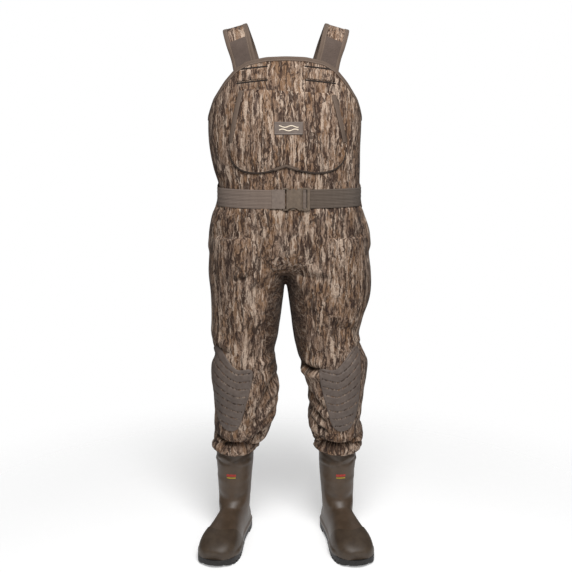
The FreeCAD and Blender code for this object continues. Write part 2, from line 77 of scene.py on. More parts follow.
# The body's outline: height, right side, left side, front and back of the mid plane.
BODY = [
    (0.795, -0.135, 0.138, -0.066, 0.084),
    (0.830, -0.196, 0.205, -0.102, 0.116),
    (0.862, -0.214, 0.232, -0.117, 0.127),
    (0.905, -0.213, 0.233, -0.122, 0.124),
    (0.955, -0.206, 0.219, -0.126, 0.112),
    (1.000, -0.190, 0.207, -0.128, 0.103),
    (1.050, -0.189, 0.205, -0.131, 0.101),
    (1.090, -0.201, 0.206, -0.134, 0.103),
    (1.145, -0.211, 0.206, -0.135, 0.107),
    (1.205, -0.214, 0.208, -0.134, 0.111),
    (1.263, -0.210, 0.208, -0.131, 0.112),
    (1.345, -0.198, 0.197, -0.127, 0.110),
    (1.410, -0.187, 0.186, -0.122, 0.106),
]
BODY_POWER = 2.35

# Each leg's outline: height, inner side, outer side, front, back.
LEG = {
    "left": [
        (0.905, 0.008, 0.226, -0.118, 0.118),
        (0.862, 0.004, 0.231, -0.116, 0.124),
        (0.830, 0.000, 0.235, -0.113, 0.124),
        (0.795, -0.003, 0.238, -0.109, 0.121),
        (0.735, 0.009, 0.236, -0.107, 0.114),
        (0.676, 0.018, 0.220, -0.103, 0.106),
        (0.612, 0.026, 0.211, -0.099, 0.094),
        (0.580, 0.034, 0.222, -0.100, 0.090),
        (0.540, 0.046, 0.231, -0.104, 0.086),
        (0.500, 0.055, 0.227, -0.103, 0.084),
        (0.460, 0.066, 0.223, -0.097, 0.088),
        (0.410, 0.074, 0.219, -0.088, 0.096),
        (0.350, 0.074, 0.214, -0.074, 0.100),
        (0.316, 0.084, 0.224, -0.064, 0.100),
        (0.292, 0.096, 0.219, -0.052, 0.094),
        (0.279, 0.097, 0.210, -0.042, 0.089),
        (HEM, 0.098, 0.208, -0.040, 0.087),
    ],
    "right": [
        (0.905, 0.008, 0.207, -0.118, 0.118),
        (0.862, 0.004, 0.212, -0.116, 0.124),
        (0.830, 0.000, 0.215, -0.113, 0.124),
        (0.795, -0.003, 0.216, -0.109, 0.121),
        (0.735, 0.010, 0.212, -0.107, 0.114),
        (0.676, 0.019, 0.212, -0.103, 0.106),
        (0.612, 0.027, 0.212, -0.099, 0.094),
        (0.570, 0.036, 0.204, -0.100, 0.090),
        (0.540, 0.030, 0.210, -0.104, 0.086),
        (0.500, 0.028, 0.211, -0.103, 0.084),
        (0.440, 0.030, 0.206, -0.094, 0.090),
        (0.393, 0.036, 0.206, -0.085, 0.098),
        (0.350, 0.048, 0.208, -0.076, 0.102),
        (0.318, 0.068, 0.210, -0.066, 0.100),
        (0.294, 0.088, 0.208, -0.054, 0.094),
        (0.279, 0.096, 0.208, -0.042, 0.089),
        (HEM, 0.098, 0.208, -0.040, 0.087),
    ],
}
LEG_POWER = 2.2

# The bib's top edge: across and up, from the middle to the side seam.
BIB_EDGE = [(0, 1.386), (0.060, 1.384), (0.115, 1.374), (0.148, 1.356), (0.176, 1.323), (0.202, 1.280),
            (0.216, 1.232)]
BACK_EDGE = [(0, 1.302), (0.045, 1.302), (0.100, 1.300), (0.128, 1.287), (0.160, 1.258), (0.195, 1.237),
             (0.216, 1.232)]


# ---- shapes ----
def between(rows, z):
    """A smooth curve through rows of numbers whose first one is the height, read at the heights z."""
    table = np.array(sorted(rows, key=lambda row: row[0]), float)
    heights, values = table[:, 0], table[:, 1:]
    slopes = np.gradient(values, heights, axis=0)
    z = np.clip(np.atleast_1d(np.asarray(z, float)), heights[0], heights[-1])
    k = np.clip(np.searchsorted(heights, z, side="right") - 1, 0, len(heights) - 2)
    step = (heights[k + 1] - heights[k])[:, None]
    t = ((z - heights[k]) / step[:, 0])[:, None]
    h00, h10 = 2 * t**3 - 3 * t**2 + 1, t**3 - 2 * t**2 + t
    h01, h11 = -2 * t**3 + 3 * t**2, t**3 - t**2
    return h00 * values[k] + h10 * step * slopes[k] + h01 * values[k + 1] + h11 * step * slopes[k + 1]


def section(angle, x0, x1, front, back, power, grow=0.0):
    """Points of a round-cornered outline; angle 0 is the left side and a quarter turn is the back."""
    c, s = np.cos(angle), np.sin(angle)
    half_x, half_y = (x1 - x0) / 2 + grow, (back - front) / 2 + grow
    x = (x0 + x1) / 2 + half_x * np.sign(c) * np.abs(c) ** (2 / power)
    y = BODY_Y + (front + back) / 2 + half_y * np.sign(s) * np.abs(s) ** (2 / power)
    return x, y


def body_point(angle, z, grow=0.0):
    angle, z = np.broadcast_arrays(np.asarray(angle, float), np.asarray(z, float))
    x0, x1, front, back = between(BODY, z.ravel()).T.reshape(4, *z.shape)
    x, y = section(angle, x0, x1, front, back, BODY_POWER, grow)
    return np.stack([x, y, z], -1)


def body_y(x, z, side, grow=0.0):
    """The body's surface at x and z, in front (side -1) or behind (side 1)."""
    x, z = np.broadcast_arrays(np.asarray(x, float), np.asarray(z, float))
    x0, x1, front, back = between(BODY, z.ravel()).T.reshape(4, *z.shape)
    half_x, half_y = (x1 - x0) / 2 + grow, (back - front) / 2 + grow
    share = np.clip(np.abs(x - (x0 + x1) / 2) / half_x, 0, 0.999)
    return BODY_Y + (front + back) / 2 + side * half_y * (1 - share**BODY_POWER) ** (1 / BODY_POWER)


def mesh_object(name, points, faces):
    mesh = bpy.data.meshes.new(name)
    mesh.from_pydata([tuple(p) for p in np.asarray(points).reshape(-1, 3)], [], [tuple(f) for f in faces])
    mesh.validate()
    mesh.update()
    obj = bpy.data.objects.new(name, mesh)
    bpy.context.scene.collection.objects.link(obj)
    mesh.shade_smooth()
    return obj


def grid_faces(rows, columns, round_it=False):
    faces = []
    for r in range(rows - 1):
        for c in range(columns if round_it else columns - 1):
            d = (c + 1) % columns
            faces.append((r * columns + c, r * columns + d, (r + 1) * columns + d, (r + 1) * columns + c))
    return faces


def tube(name, rings):
    """A closed tube through rings of points, each of the same count."""
    rings = np.asarray(rings)
    rows, columns = rings.shape[:2]
    faces = grid_faces(rows, columns, True)
    faces.append(tuple(range(columns))[::-1])
    faces.append(tuple((rows - 1) * columns + c for c in range(columns)))
    return mesh_object(name, rings.reshape(-1, 3), faces)


def points_of(obj):
    co = np.empty(len(obj.data.vertices) * 3)
    obj.data.vertices.foreach_get("co", co)
    return co.reshape(-1, 3)


def normals_of(obj):
    no = np.empty(len(obj.data.vertices) * 3)
    obj.data.vertex_normals.foreach_get("vector", no)
    return no.reshape(-1, 3)


def facing(points, faces, direction):
    """The faces turned to look along the direction, and the smooth normal at each point."""
    form = mesh_object("form", points, faces)
    normals = normals_of(form).copy()
    bpy.data.objects.remove(form)
    if (normals * direction).sum() < 0:
        faces, normals = faces[:, ::-1], -normals
    return faces, normals


def run_along(points):
    """How far along a line each of its points is."""
    return np.concatenate([[0], np.cumsum(np.linalg.norm(np.diff(points, axis=0), axis=1))])


def set_points(obj, co):
    obj.data.vertices.foreach_set("co", np.ascontiguousarray(co, float).ravel())
    obj.data.update()


def keep_vector(obj, name, values):
    """Stores a vector at each point, which materials read by that name."""
    data = obj.data.attributes.get(name) or obj.data.attributes.new(name, "FLOAT_VECTOR", "POINT")
    data.data.foreach_set("vector", np.ascontiguousarray(values, float).ravel())


def only(obj):
    for o in bpy.context.view_layer.objects:
        o.select_set(False)
    obj.select_set(True)
    bpy.context.view_layer.objects.active = obj


def apply_all(obj):
    only(obj)
    for m in list(obj.modifiers):
        bpy.ops.object.modifier_apply(modifier=m.name)


def modifier(obj, kind, **settings):
    m = obj.modifiers.new(kind.title(), kind)
    for key, value in settings.items():
        setattr(m, key, value)
    return m


def join(objects):
    only(objects[0])
    for o in objects:
        o.select_set(True)
    bpy.ops.object.join()
    return objects[0]


def remesh(obj, voxel, smooth_steps):
    modifier(obj, "REMESH", mode="VOXEL", voxel_size=voxel)
    modifier(obj, "SMOOTH", iterations=smooth_steps, factor=0.5)
    apply_all(obj)
    obj.data.shade_smooth()
    return obj


def waves(co, size, seed, stretch=(1, 1, 1)):
    """Smooth noise of about -1 to 1 at each point."""
    scale = np.array(stretch) / size
    offset = Vector((seed * 7.31, seed * 3.17, seed * 5.77))
    return np.array([noise.noise(Vector(p * scale) + offset) for p in co])


def hump(x, width):
    """1 where x is zero, falling to nothing on both sides."""
    return np.exp(-(x / width) ** 2)


def smoothstep(low, high, value):
    t = np.clip((value - low) / (high - low), 0, 1)
    return t * t * (3 - 2 * t)


def path_distance(x, z, path):
    """How far each (x, z) is from a path, on which side of it (1 above) and how near the path's end."""
    best, sign, along, run = np.full(len(x), 9.0), np.ones(len(x)), np.zeros(len(x)), 0.0
    total = sum(math.dist(a, b) for a, b in zip(path, path[1:]))
    for (ax, az), (bx, bz) in zip(path, path[1:]):
        dx, dz = bx - ax, bz - az
        length = math.hypot(dx, dz)
        t = np.clip(((x - ax) * dx + (z - az) * dz) / length**2, 0, 1)
        d = np.hypot(x - ax - t * dx, z - az - t * dz)
        side = np.sign((dx * (z - az) - dz * (x - ax)) * (1 if dx > 0 else -1))
        near = d < best
        best, sign = np.where(near, d, best), np.where(near, side, sign)
        along = np.where(near, (run + t * length) / total, along)
        run += length
    return best, sign, along


# ---- materials ----
class Nodes:
    """A short way to write a material's node tree."""

    def __init__(self, name):
        self.material = bpy.data.materials.new(name)
        self.material.use_nodes = True
        self.tree = self.material.node_tree
        self.shader = self.tree.nodes["Principled BSDF"]

    def add(self, kind, inputs=None, **settings):
        node = self.tree.nodes.new(kind)
        for key, value in settings.items():
            setattr(node, key, value)
        for key, value in (inputs or {}).items():
            self.set(node.inputs[key], value)
        return node

    def set(self, socket, value):
        if isinstance(value, bpy.types.NodeSocket):
            self.tree.links.new(value, socket)
        elif isinstance(value, bpy.types.Node):
            self.tree.links.new(value.outputs[0], socket)
        else:
            socket.default_value = value

    def math(self, operation, a, b=0.0):
        return self.add("ShaderNodeMath", {0: a, 1: b}, operation=operation).outputs[0]

    def plus(self, a, b):
        return self.math("ADD", a, b)

    def times(self, a, b):
        return self.math("MULTIPLY", a, b)

    def fade(self, value, start, end, low=0, high=1):
        """Grey that goes from low at start to high at end."""
        return self.ramp(value, [(start, grey(low)), (end, grey(high))])

    def place(self, attribute, scale):
        source = self.add("ShaderNodeAttribute", attribute_name=attribute).outputs["Vector"]
        return self.add("ShaderNodeMapping", {"Vector": source, "Scale": scale}).outputs[0]

    def noise(self, where, size, detail=4.0, rough=0.55, distortion=0.0):
        return self.add("ShaderNodeTexNoise", {
            "Vector": where, "Scale": 1 / size, "Detail": detail, "Roughness": rough,
            "Distortion": distortion,
        }).outputs["Fac"]

    def ramp(self, value, stops):
        node = self.add("ShaderNodeValToRGB", {"Fac": value})
        ramp = node.color_ramp
        while len(ramp.elements) < len(stops):
            ramp.elements.new(0.5)
        for element, (position, colour) in zip(ramp.elements, stops):
            element.position = position
            element.color = (*colour, 1) if len(colour) == 3 else colour
        return node.outputs["Color"]

    def mix(self, factor, a, b, blend="MIX"):
        node = self.add("ShaderNodeMix", {"Factor": factor}, data_type="RGBA", blend_type=blend)
        self.set(node.inputs["A"], (*a, 1) if isinstance(a, tuple) and len(a) == 3 else a)
        self.set(node.inputs["B"], (*b, 1) if isinstance(b, tuple) and len(b) == 3 else b)
        return node.outputs["Result"]

    def finish(self, colour, roughness, height=None, depth=0.001, strength=0.6, **sockets):
        self.set(self.shader.inputs["Base Color"], colour)
        self.set(self.shader.inputs["Roughness"], roughness)
        for key, value in sockets.items():
            self.shader.inputs[key.replace("_", " ")].default_value = value
        if height is not None:
            bump = self.add("ShaderNodeBump", {"Height": height, "Distance": depth, "Strength": strength})
            self.set(self.shader.inputs["Normal"], bump.outputs["Normal"])
        return self.material


def grey(value):
    return (value, value, value)


def srgb(r, g, b):
    """A colour given on the screen's 0 to 255 scale."""
    return tuple((c / 255) ** 2.2 for c in (r, g, b))


def knit_height(n, where, pitch):
    """Fine rows of jersey stitches."""
    wave = n.add("ShaderNodeTexWave", {"Vector": where, "Scale": 1 / pitch, "Distortion": 1.5, "Detail": 1.0},
                 bands_direction="DIAGONAL")
    return wave.outputs["Fac"]


def line_mask(n, where, size, width):
    """Thin wandering lines: 1 on a line and 0 away from it."""
    value = n.noise(where, size, 5.0, 0.55, 0.4)
    near = n.math("ABSOLUTE", n.math("SUBTRACT", value, 0.5))
    return n.fade(near, width * 0.5, width, 1, 0)


def moved(n, where, by):
    return n.add("ShaderNodeVectorMath", {0: where, 1: by}, operation="ADD").outputs[0]


def bark_colour(n, turned=False):
    """Tree-bark camouflage: jagged flakes of tan, grey and brown, dark cracks and pale wandering streaks,
    with painted shade darkening it in the folds.
    """
    def stretched(share):
        return n.place("rest", (share, 1, 1) if turned else (1, 1, share))

    even = n.place("rest", (1, 1, 1))
    wander = n.add("ShaderNodeTexNoise", {"Vector": even, "Scale": 1 / 0.016, "Detail": 3.0}).outputs["Color"]
    bend = n.add("ShaderNodeVectorMath", {0: wander, 1: (0.009, 0.009, 0.003)},
                 operation="MULTIPLY").outputs[0]
    long, slim, short = (moved(n, stretched(share), bend) for share in (0.24, 0.11, 0.5))
    flakes = n.noise(long, 0.0085, 6.0, 0.66, 0.5)
    ground = n.ramp(flakes, [
        (0.34, srgb(62, 48, 40)), (0.41, srgb(90, 72, 61)), (0.47, srgb(118, 96, 81)),
        (0.52, srgb(134, 110, 92)), (0.57, srgb(112, 93, 80)), (0.64, srgb(156, 134, 117)),
    ])
    tone = n.noise(stretched(0.4), 0.035, 4.0, 0.6)
    ground = n.mix(n.fade(tone, 0.46, 0.60, 0, 0.55), ground, srgb(136, 104, 76))
    ground = n.mix(n.fade(tone, 0.36, 0.45, 0.5, 0), ground, srgb(96, 84, 78))
    cell = n.add("ShaderNodeTexVoronoi", {"Vector": long, "Scale": 1 / 0.0088, "Randomness": 1.0},
                 feature="DISTANCE_TO_EDGE").outputs["Distance"]
    wide = n.noise(short, 0.012, 3.0)
    crack = n.fade(n.math("SUBTRACT", cell, n.times(wide, 0.17)), 0.0, 0.035, 1, 0)
    crack = n.times(crack, n.fade(wide, 0.40, 0.56, 0.25, 1))
    ground = n.mix(n.times(crack, 0.85), ground, srgb(58, 46, 41))
    where_pale = n.fade(n.noise(stretched(0.3), 0.020, 3.0, 0.6), 0.44, 0.54)
    pale = n.times(line_mask(n, slim, 0.0170, 0.050), where_pale)
    fine_pale = n.times(line_mask(n, moved(n, long, (3.1, 0.0, 1.7)), 0.0120, 0.030), 0.65)
    ground = n.mix(fine_pale, ground, srgb(164, 141, 123))
    ground = n.mix(n.times(pale, 0.9), ground, srgb(186, 165, 147))
    deep = line_mask(n, moved(n, slim, (5.3, 0.0, 4.1)), 0.0210, 0.034)
    ground = n.mix(n.times(deep, 0.85), ground, srgb(48, 37, 33))
    crinkle = n.noise(even, 0.0032, 4.0, 0.7)
    ground = n.mix(n.fade(crinkle, 0.38, 0.52, 0.45, 0), ground, srgb(66, 53, 46))
    # painted shade: the print is darkened towards a deep brown where the crease attribute says a point lies
    # deep in a fold
    crease = n.add("ShaderNodeAttribute", attribute_name="crease").outputs["Fac"]
    return n.mix(n.times(crease, 0.8), ground, srgb(36, 26, 21))


def camo(name, turned=False, shade=0.0):
    """Jersey printed with bark; shade mixes the whole print towards the gusset's brown, which is partly its
    own cloth colour and partly painted shade.
    """
    n = Nodes(name)
    colour = bark_colour(n, turned=turned)
    if shade:
        # painted shade: part of this darkening stands for the shade between the thighs
        colour = n.mix(shade, colour, GUSSET_BROWN_AND_SHADE)
    fine = n.place("rest", (1, 1, 1))
    knit = knit_height(n, fine, 0.0016)
    fuzz = n.noise(fine, 0.0012, 2.0)
    colour = n.mix(n.times(fuzz, 0.12), colour, srgb(80, 70, 62), "MULTIPLY")
    height = n.plus(knit, n.times(fuzz, 0.6))
    return n.finish(colour, 0.86, height, 0.0004, 0.35, Sheen_Weight=0.03, Specular_IOR_Level=0.12)


def woven(name, base, dark, pitch=0.0014, rough=0.8, sheen=0.06):
    """A plain woven or knitted tape."""
    n = Nodes(name)
    where = n.place("rest", (1, 1, 1))
    broad = n.noise(where, 0.02, 4.0)
    fine = n.noise(where, 0.0011, 3.0)
    threads = knit_height(n, where, pitch)
    colour = n.mix(broad, base, dark)
    colour = n.mix(n.times(threads, 0.35), colour, tuple(0.55 * c for c in dark))
    return n.finish(colour, rough, n.plus(threads, fine), 0.0005, 0.5, Sheen_Weight=sheen,
                    Sheen_Roughness=0.5, Specular_IOR_Level=0.3)


def plain(name, colour, dark, rough, size=0.01, **sockets):
    """Moulded rubber or plastic: slight mottling and a fine grain."""
    n = Nodes(name)
    where = n.place("rest", (1, 1, 1))
    mottle = n.noise(where, size, 5.0, 0.6)
    fine = n.noise(where, 0.0008, 3.0)
    shade = n.ramp(mottle, [(0.35, dark), (0.65, colour)])
    gloss = n.plus(rough - 0.08, n.times(mottle, 0.16))
    return n.finish(shade, gloss, fine, 0.0003, 0.4, **sockets)


def tape(name, base, dark, stitch):
    """Folded edge tape: fine cross ribs and a row of stitches. Its place is along, across in metres."""
    n = Nodes(name)
    where = n.place("rest", (1, 1, 1))
    parts = n.add("ShaderNodeSeparateXYZ", {0: where})
    along, across = parts.outputs["X"], parts.outputs["Y"]
    ribs = n.math("ABSOLUTE", n.math("SINE", n.times(along, math.pi / 0.0012)))
    broad = n.noise(where, 0.015, 4.0)
    colour = n.mix(broad, base, dark)
    colour = n.mix(n.times(ribs, 0.25), colour, tuple(0.5 * c for c in dark))
    row = n.math("LESS_THAN", n.math("ABSOLUTE", n.math("SUBTRACT", across, 0.0025)), 0.0005)
    dash = n.math("LESS_THAN", n.math("FRACT", n.math("DIVIDE", along, 0.0032)), 0.65)
    thread = n.times(row, dash)
    colour = n.mix(thread, colour, stitch)
    height = n.plus(n.times(ribs, 0.5), n.times(thread, 1.5))
    return n.finish(colour, 0.78, height, 0.0004, 0.6, Sheen_Weight=0.05, Specular_IOR_Level=0.2)


def webbing(name, base, dark):
    """Woven belt webbing: cross ribs with a fine twill."""
    n = Nodes(name)
    where = n.place("rest", (1, 1, 1))
    parts = n.add("ShaderNodeSeparateXYZ", {0: where})
    ribs = n.math("SINE", n.times(parts.outputs["X"], 2 * math.pi / 0.0021))
    rows = n.math("SINE", n.times(parts.outputs["Y"], 2 * math.pi / 0.0042))
    broad = n.noise(n.place("rest", (1, 0.2, 1)), 0.012, 4.0)
    colour = n.mix(broad, base, dark)
    colour = n.mix(n.times(n.plus(ribs, 1.0), 0.20), colour, tuple(0.4 * c for c in dark))
    height = n.plus(ribs, n.times(rows, 0.5))
    return n.finish(colour, 0.6, height, 0.0005, 0.8, Sheen_Weight=0.03, Specular_IOR_Level=0.35)


def pad_material():
    """Rubber bands printed over the fabric; the grooves between them show it in dashes, darkened there as
    painted shade.
    """
    n = Nodes("knee_rubber")
    shows = n.add("ShaderNodeAttribute", attribute_name="gap").outputs["Fac"]
    camo_colour = bark_colour(n)
    where = n.place("rest", (1, 1, 1))
    fine = n.noise(where, 0.0009, 2.0)
    mottle = n.ramp(n.noise(where, 0.012, 5.0), [(0.3, srgb(86, 75, 69)), (0.7, srgb(102, 91, 84))])
    # painted shade: the fabric seen in the grooves is darkened towards a deep brown
    shaded_gap = n.fade(shows, 0.18, 0.42)
    colour = n.mix(shaded_gap, mottle, n.mix(0.45, camo_colour, srgb(46, 34, 27)))
    return n.finish(colour, 0.62, fine, 0.0003, 0.5, Specular_IOR_Level=0.4)


def object_place(n):
    return n.add("ShaderNodeTexCoord").outputs["Object"]


def cad_material(name, colour, dark, rough, ribs=None, **sockets):
    """For the pieces that come from CAD: the same finishes, placed by the object itself."""
    n = Nodes(name)
    where = object_place(n)
    mottle = n.noise(where, 0.008, 5.0, 0.6)
    fine = n.noise(where, 0.0007, 3.0)
    shade = n.ramp(mottle, [(0.35, dark), (0.65, colour)])
    if ribs:
        parts = n.add("ShaderNodeSeparateXYZ", {0: where})
        wave = n.math("SINE", n.times(parts.outputs["X"], 2 * math.pi / ribs))
        shade = n.mix(n.times(n.plus(wave, 1.0), 0.14), shade, tuple(0.4 * c for c in dark))
        fine = n.plus(fine, wave)
    return n.finish(shade, rough, fine, 0.0004, 0.45, **sockets)


# the gusset's brown: partly the cloth's own colour, partly painted shade between the thighs
GUSSET_BROWN_AND_SHADE = srgb(46, 33, 26)
CAMO = camo("camo_neoprene")
GUSSET_WITH_SHADE = camo("camo_gusset_with_shade", turned=True, shade=0.62)
LINING = woven("lining_jersey", srgb(84, 74, 66), srgb(66, 58, 52))
BINDING = tape("edge_tape", srgb(106, 91, 80), srgb(88, 75, 66), srgb(128, 112, 100))
PIPING = woven("seam_piping", srgb(74, 62, 54), srgb(54, 45, 39))
# a dark cloth for painted shadow in the strap tabs' slots
SLOT_SHADOW = woven("slot_shadow_cloth", srgb(48, 40, 35), srgb(36, 30, 26))
LOOP = woven("loop_pile", srgb(101, 87, 79), srgb(78, 66, 59), 0.0008, 0.95, sheen=0.15)
WEB_PALE = webbing("belt_webbing_pale", srgb(136, 120, 109), srgb(116, 101, 91))
WEB_DARK = webbing("belt_webbing_dark", srgb(108, 95, 85), srgb(88, 77, 68))
PAD = pad_material()
RUBBER = plain("boot_rubber", srgb(80, 65, 52), srgb(68, 55, 43), 0.44, 0.03, Specular_IOR_Level=0.5)
TOE_RUBBER = plain("toe_rubber", srgb(70, 58, 46), srgb(59, 48, 38), 0.5, 0.02, Specular_IOR_Level=0.45)
LABEL = plain("label_rubber", srgb(104, 91, 83), srgb(92, 81, 74), 0.5)
LABEL_PALE = plain("label_pale", srgb(222, 206, 184), srgb(206, 190, 168), 0.5)
RED_MARK = plain("red_mark", srgb(168, 48, 36), srgb(140, 40, 30), 0.45)
YELLOW_MARK = plain("yellow_mark", srgb(186, 160, 38), srgb(160, 136, 32), 0.45)
PLASTIC = cad_material("buckle_plastic", srgb(106, 92, 79), srgb(90, 78, 67), 0.36, Specular_IOR_Level=0.5)
SOLE_RUBBER = cad_material("outsole_rubber", srgb(38, 35, 34), srgb(26, 24, 24), 0.62)
FELT = cad_material("boot_lining_felt", srgb(70, 66, 62), srgb(52, 49, 46), 0.95, Sheen_Weight=0.4)
HOOK = cad_material("hook_tape", srgb(62, 53, 47), srgb(46, 39, 35), 0.8)
WEB_CAD = cad_material("belt_webbing_folded", srgb(112, 98, 88), srgb(92, 80, 71), 0.6, ribs=0.0021)
WEB_CAD_PALE = cad_material("belt_webbing_end", srgb(124, 110, 100), srgb(108, 95, 86), 0.6, ribs=0.0021)


# ---- cloth pieces ----
def shell_piece(name, outer, inner, normals, faces, rest, materials, face_material=None, crease=None):
    """A closed piece of cloth: its outer and inner faces, joined round its open edges.
    Its normals are those of the whole garment, so that pieces meet without a visible line."""
    faces = np.asarray(faces)
    used, local = np.unique(faces.ravel(), return_inverse=True)
    local = local.reshape(faces.shape)
    count = len(used)
    edges = {}
    for face in local.tolist():
        for a, b in zip(face, face[1:] + face[:1]):
            edges[(a, b)] = True
    border = [(a, b) for a, b in edges if (b, a) not in edges]
    rim = [(b, a, a + count, b + count) for a, b in border]
    polygons = local.tolist() + (local[:, ::-1] + count).tolist() + rim
    mesh = bpy.data.meshes.new(name)
    mesh.from_pydata(np.vstack([outer[used], inner[used]]).tolist(), [], polygons)
    for m in materials:
        mesh.materials.append(m)
    index = np.zeros(len(polygons), np.int32)
    if face_material is not None:
        index[:len(local)] = face_material
    index[len(local):2 * len(local)] = len(materials) - 1
    mesh.polygons.foreach_set("material_index", index)
    mesh.shade_smooth()
    sharp = set()
    for a, b in border:
        sharp.update(((min(a, b), max(a, b)), (min(a, b) + count, max(a, b) + count)))
    keys = np.empty(len(mesh.edges) * 2, np.int32)
    mesh.edges.foreach_get("vertices", keys)
    flags = [(min(a, b), max(a, b)) in sharp for a, b in keys.reshape(-1, 2).tolist()]
    mesh.attributes.new("sharp_edge", "BOOLEAN", "EDGE").data.foreach_set("value", flags)
    n = normals[used]
    loops = np.vstack([n[local.ravel()], -n[local[:, ::-1].ravel()], np.zeros((len(rim) * 4, 3))])
    mesh.normals_split_custom_set(loops.tolist())
    obj = bpy.data.objects.new(name, mesh)
    bpy.context.scene.collection.objects.link(obj)
    keep_vector(obj, "rest", np.vstack([rest[used], rest[used]]))
    # the crease attribute carries the painted shade of the folds into the print
    if crease is not None:
        depth = np.concatenate([crease[used], crease[used]])
        mesh.attributes.new("crease", "FLOAT", "POINT").data.foreach_set("value", depth)
    return obj


def quads_of(obj):
    """The faces of an all-quad mesh."""
    index = np.empty(len(obj.data.loops), np.int32)
    obj.data.loops.foreach_get("vertex_index", index)
    return index.reshape(-1, 4)


def ripple(x, z):
    """How far the bib's cloth stands out of its even shape at x and z."""
    x, z = np.broadcast_arrays(np.asarray(x, float), np.asarray(z, float))
    p = np.stack([x.ravel(), np.zeros(x.size), z.ravel()], -1)
    slow = waves(p, 0.11, 3) * 0.0020 + waves(p, 0.045, 5, (1, 1, 0.6)) * 0.0008
    gather = waves(p, 0.022, 9, (1, 1, 0.15)) * 0.0028 * np.exp(-np.clip(p[:, 2] - BELT_HIGH, 0, 1) / 0.018)
    return (slow + gather).reshape(x.shape)


def front_frame(x, z):
    """The bib's outer surface at x and z, and its outward direction."""
    x, z = np.broadcast_arrays(np.asarray(x, float), np.asarray(z, float))
    step = 0.002
    y = body_y(x, z, -1)
    dx = (body_y(x + step, z, -1) - body_y(x - step, z, -1)) / (2 * step)
    dz = (body_y(x, z + step, -1) - body_y(x, z - step, -1)) / (2 * step)
    normal = np.stack([dx, -np.ones_like(dx), dz], -1)
    normal /= np.linalg.norm(normal, axis=-1, keepdims=True)
    return np.stack([x, y, z], -1) + normal * ripple(x, z)[..., None], normal


def edge_height(x, z, front):
    edge = np.array(BIB_EDGE if front else BACK_EDGE)
    x0, x1 = between(BODY, z).T[:2]
    side = np.where(x > 0, x1, -x0)
    share = np.clip(np.abs(x) / side, 0, 1) * edge[-1, 0]
    return np.interp(share, edge[:, 0], edge[:, 1])


def top_heights(angle):
    """The height of the garment's upper edge at each angle round the body."""
    front = np.sin(angle) < 0
    low, high = np.full(len(angle), 1.15), np.full(len(angle), 1.409)
    for _ in range(30):
        middle = (low + high) / 2
        x = body_point(angle, middle)[:, 0]
        goal = np.where(front, edge_height(x, middle, True), edge_height(x, middle, False))
        low, high = np.where(goal > middle, middle, low), np.where(goal > middle, high, middle)
    return (low + high) / 2


def round_list(values, times):
    """Evens out a closed list a little."""
    for _ in range(times):
        values = 0.5 * values + 0.25 * (np.roll(values, 1) + np.roll(values, -1))
    return values


COLUMNS, ROWS = 400, 130


def upper_body():
    angle = 2 * math.pi * np.arange(COLUMNS) / COLUMNS
    tops = round_list(top_heights(angle), 6)
    t = np.linspace(0, 1, ROWS)[:, None]
    z = WAIST_SEAM + (tops - WAIST_SEAM) * t
    p = body_point(np.broadcast_to(angle, z.shape), z)
    rest = p.reshape(-1, 3)
    faces, normals = facing(rest, np.array(grid_faces(ROWS, COLUMNS, True)), rest - rest.mean(0))
    back = waves(rest, 0.08, 13, (1, 1, 0.7)) * 0.003 * smoothstep(0.2, 0.6, normals[:, 1])
    lift = np.where(normals[:, 1] < 0.2, ripple(rest[:, 0], rest[:, 2]), back)
    outer = rest + normals * lift[:, None]
    faces, normals = facing(outer, faces, normals)
    inner = outer - normals * NEOPRENE
    middle = angle[faces[:, 0] % COLUMNS] + math.pi / COLUMNS
    pieces = []
    for name, chosen, node in (
        ("bib_front_panel", np.sin(middle) < 0, "bib_front"),
        ("back_body_panel", np.sin(middle) >= 0, "back_panel"),
    ):
        piece = shell_piece(name, outer, inner, normals, faces[chosen], rest, [CAMO, LINING])
        finish_piece(piece, "camo_neoprene", node)
        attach(piece, "torso")
        pieces.append(piece)
    top = outer.reshape(ROWS, COLUMNS, 3)
    n = normals.reshape(ROWS, COLUMNS, 3)
    return pieces, top, n


def finish_piece(obj, slot, *nodes):
    if nodes:
        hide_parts(*nodes)
    return obj


def sweep(name, centres, out, down, profile, closed, material, slot):
    """A strip with one cross-section all along; the profile's points are out of and down from the path."""
    profile = np.asarray(profile)
    rings = centres[:, None] + out[:, None] * profile[None, :, :1] + down[:, None] * profile[None, :, 1:]
    rows, count = rings.shape[:2]
    if closed:
        rings = np.concatenate([rings, rings[:1]])
        faces = grid_faces(rows + 1, count, True)
        faces = [tuple(i % (rows * count) for i in f) for f in faces]
        points = rings[:-1].reshape(-1, 3)
    else:
        faces = grid_faces(rows, count, True)
        faces += [tuple(range(count))[::-1], tuple((rows - 1) * count + c for c in range(count))]
        points = rings.reshape(-1, 3)
    obj = mesh_object(name, points, faces)
    run, across = run_along(centres), run_along(profile)
    place = np.stack(np.broadcast_arrays(run[:, None], across[None], 0.0), -1)
    keep_vector(obj, "rest", place.reshape(-1, 3))
    obj.data.materials.append(material)
    fix_normals(obj)
    modifier(obj, "EDGE_SPLIT", split_angle=math.radians(50))
    finish_piece(obj, slot)
    return obj


def fix_normals(obj):
    bm = bmesh.new()
    bm.from_mesh(obj.data)
    bmesh.ops.recalc_face_normals(bm, faces=bm.faces)
    bm.to_mesh(obj.data)
    bm.free()


def u_profile(wall, thick, width, drop=0.002):
    """A tape folded over an edge whose cloth is 2 * wall thick."""
    radius = wall + thick
    turn = np.linspace(0, math.pi, 8)
    over = [(radius * math.cos(a), drop - radius * math.sin(a)) for a in turn]
    under = [(wall * math.cos(a), drop - wall * math.sin(a)) for a in turn[::-1]]
    row = width - 0.0025
    outside = [(radius, width), (radius, row + 0.0008), (radius - 0.0003, row), (radius, row - 0.0008)]
    return outside + over + [(-radius, row), (-radius, width)] + [(-wall, width)] + under + [(wall, width)]


def unit(v):
    return v / np.linalg.norm(v, axis=-1, keepdims=True)


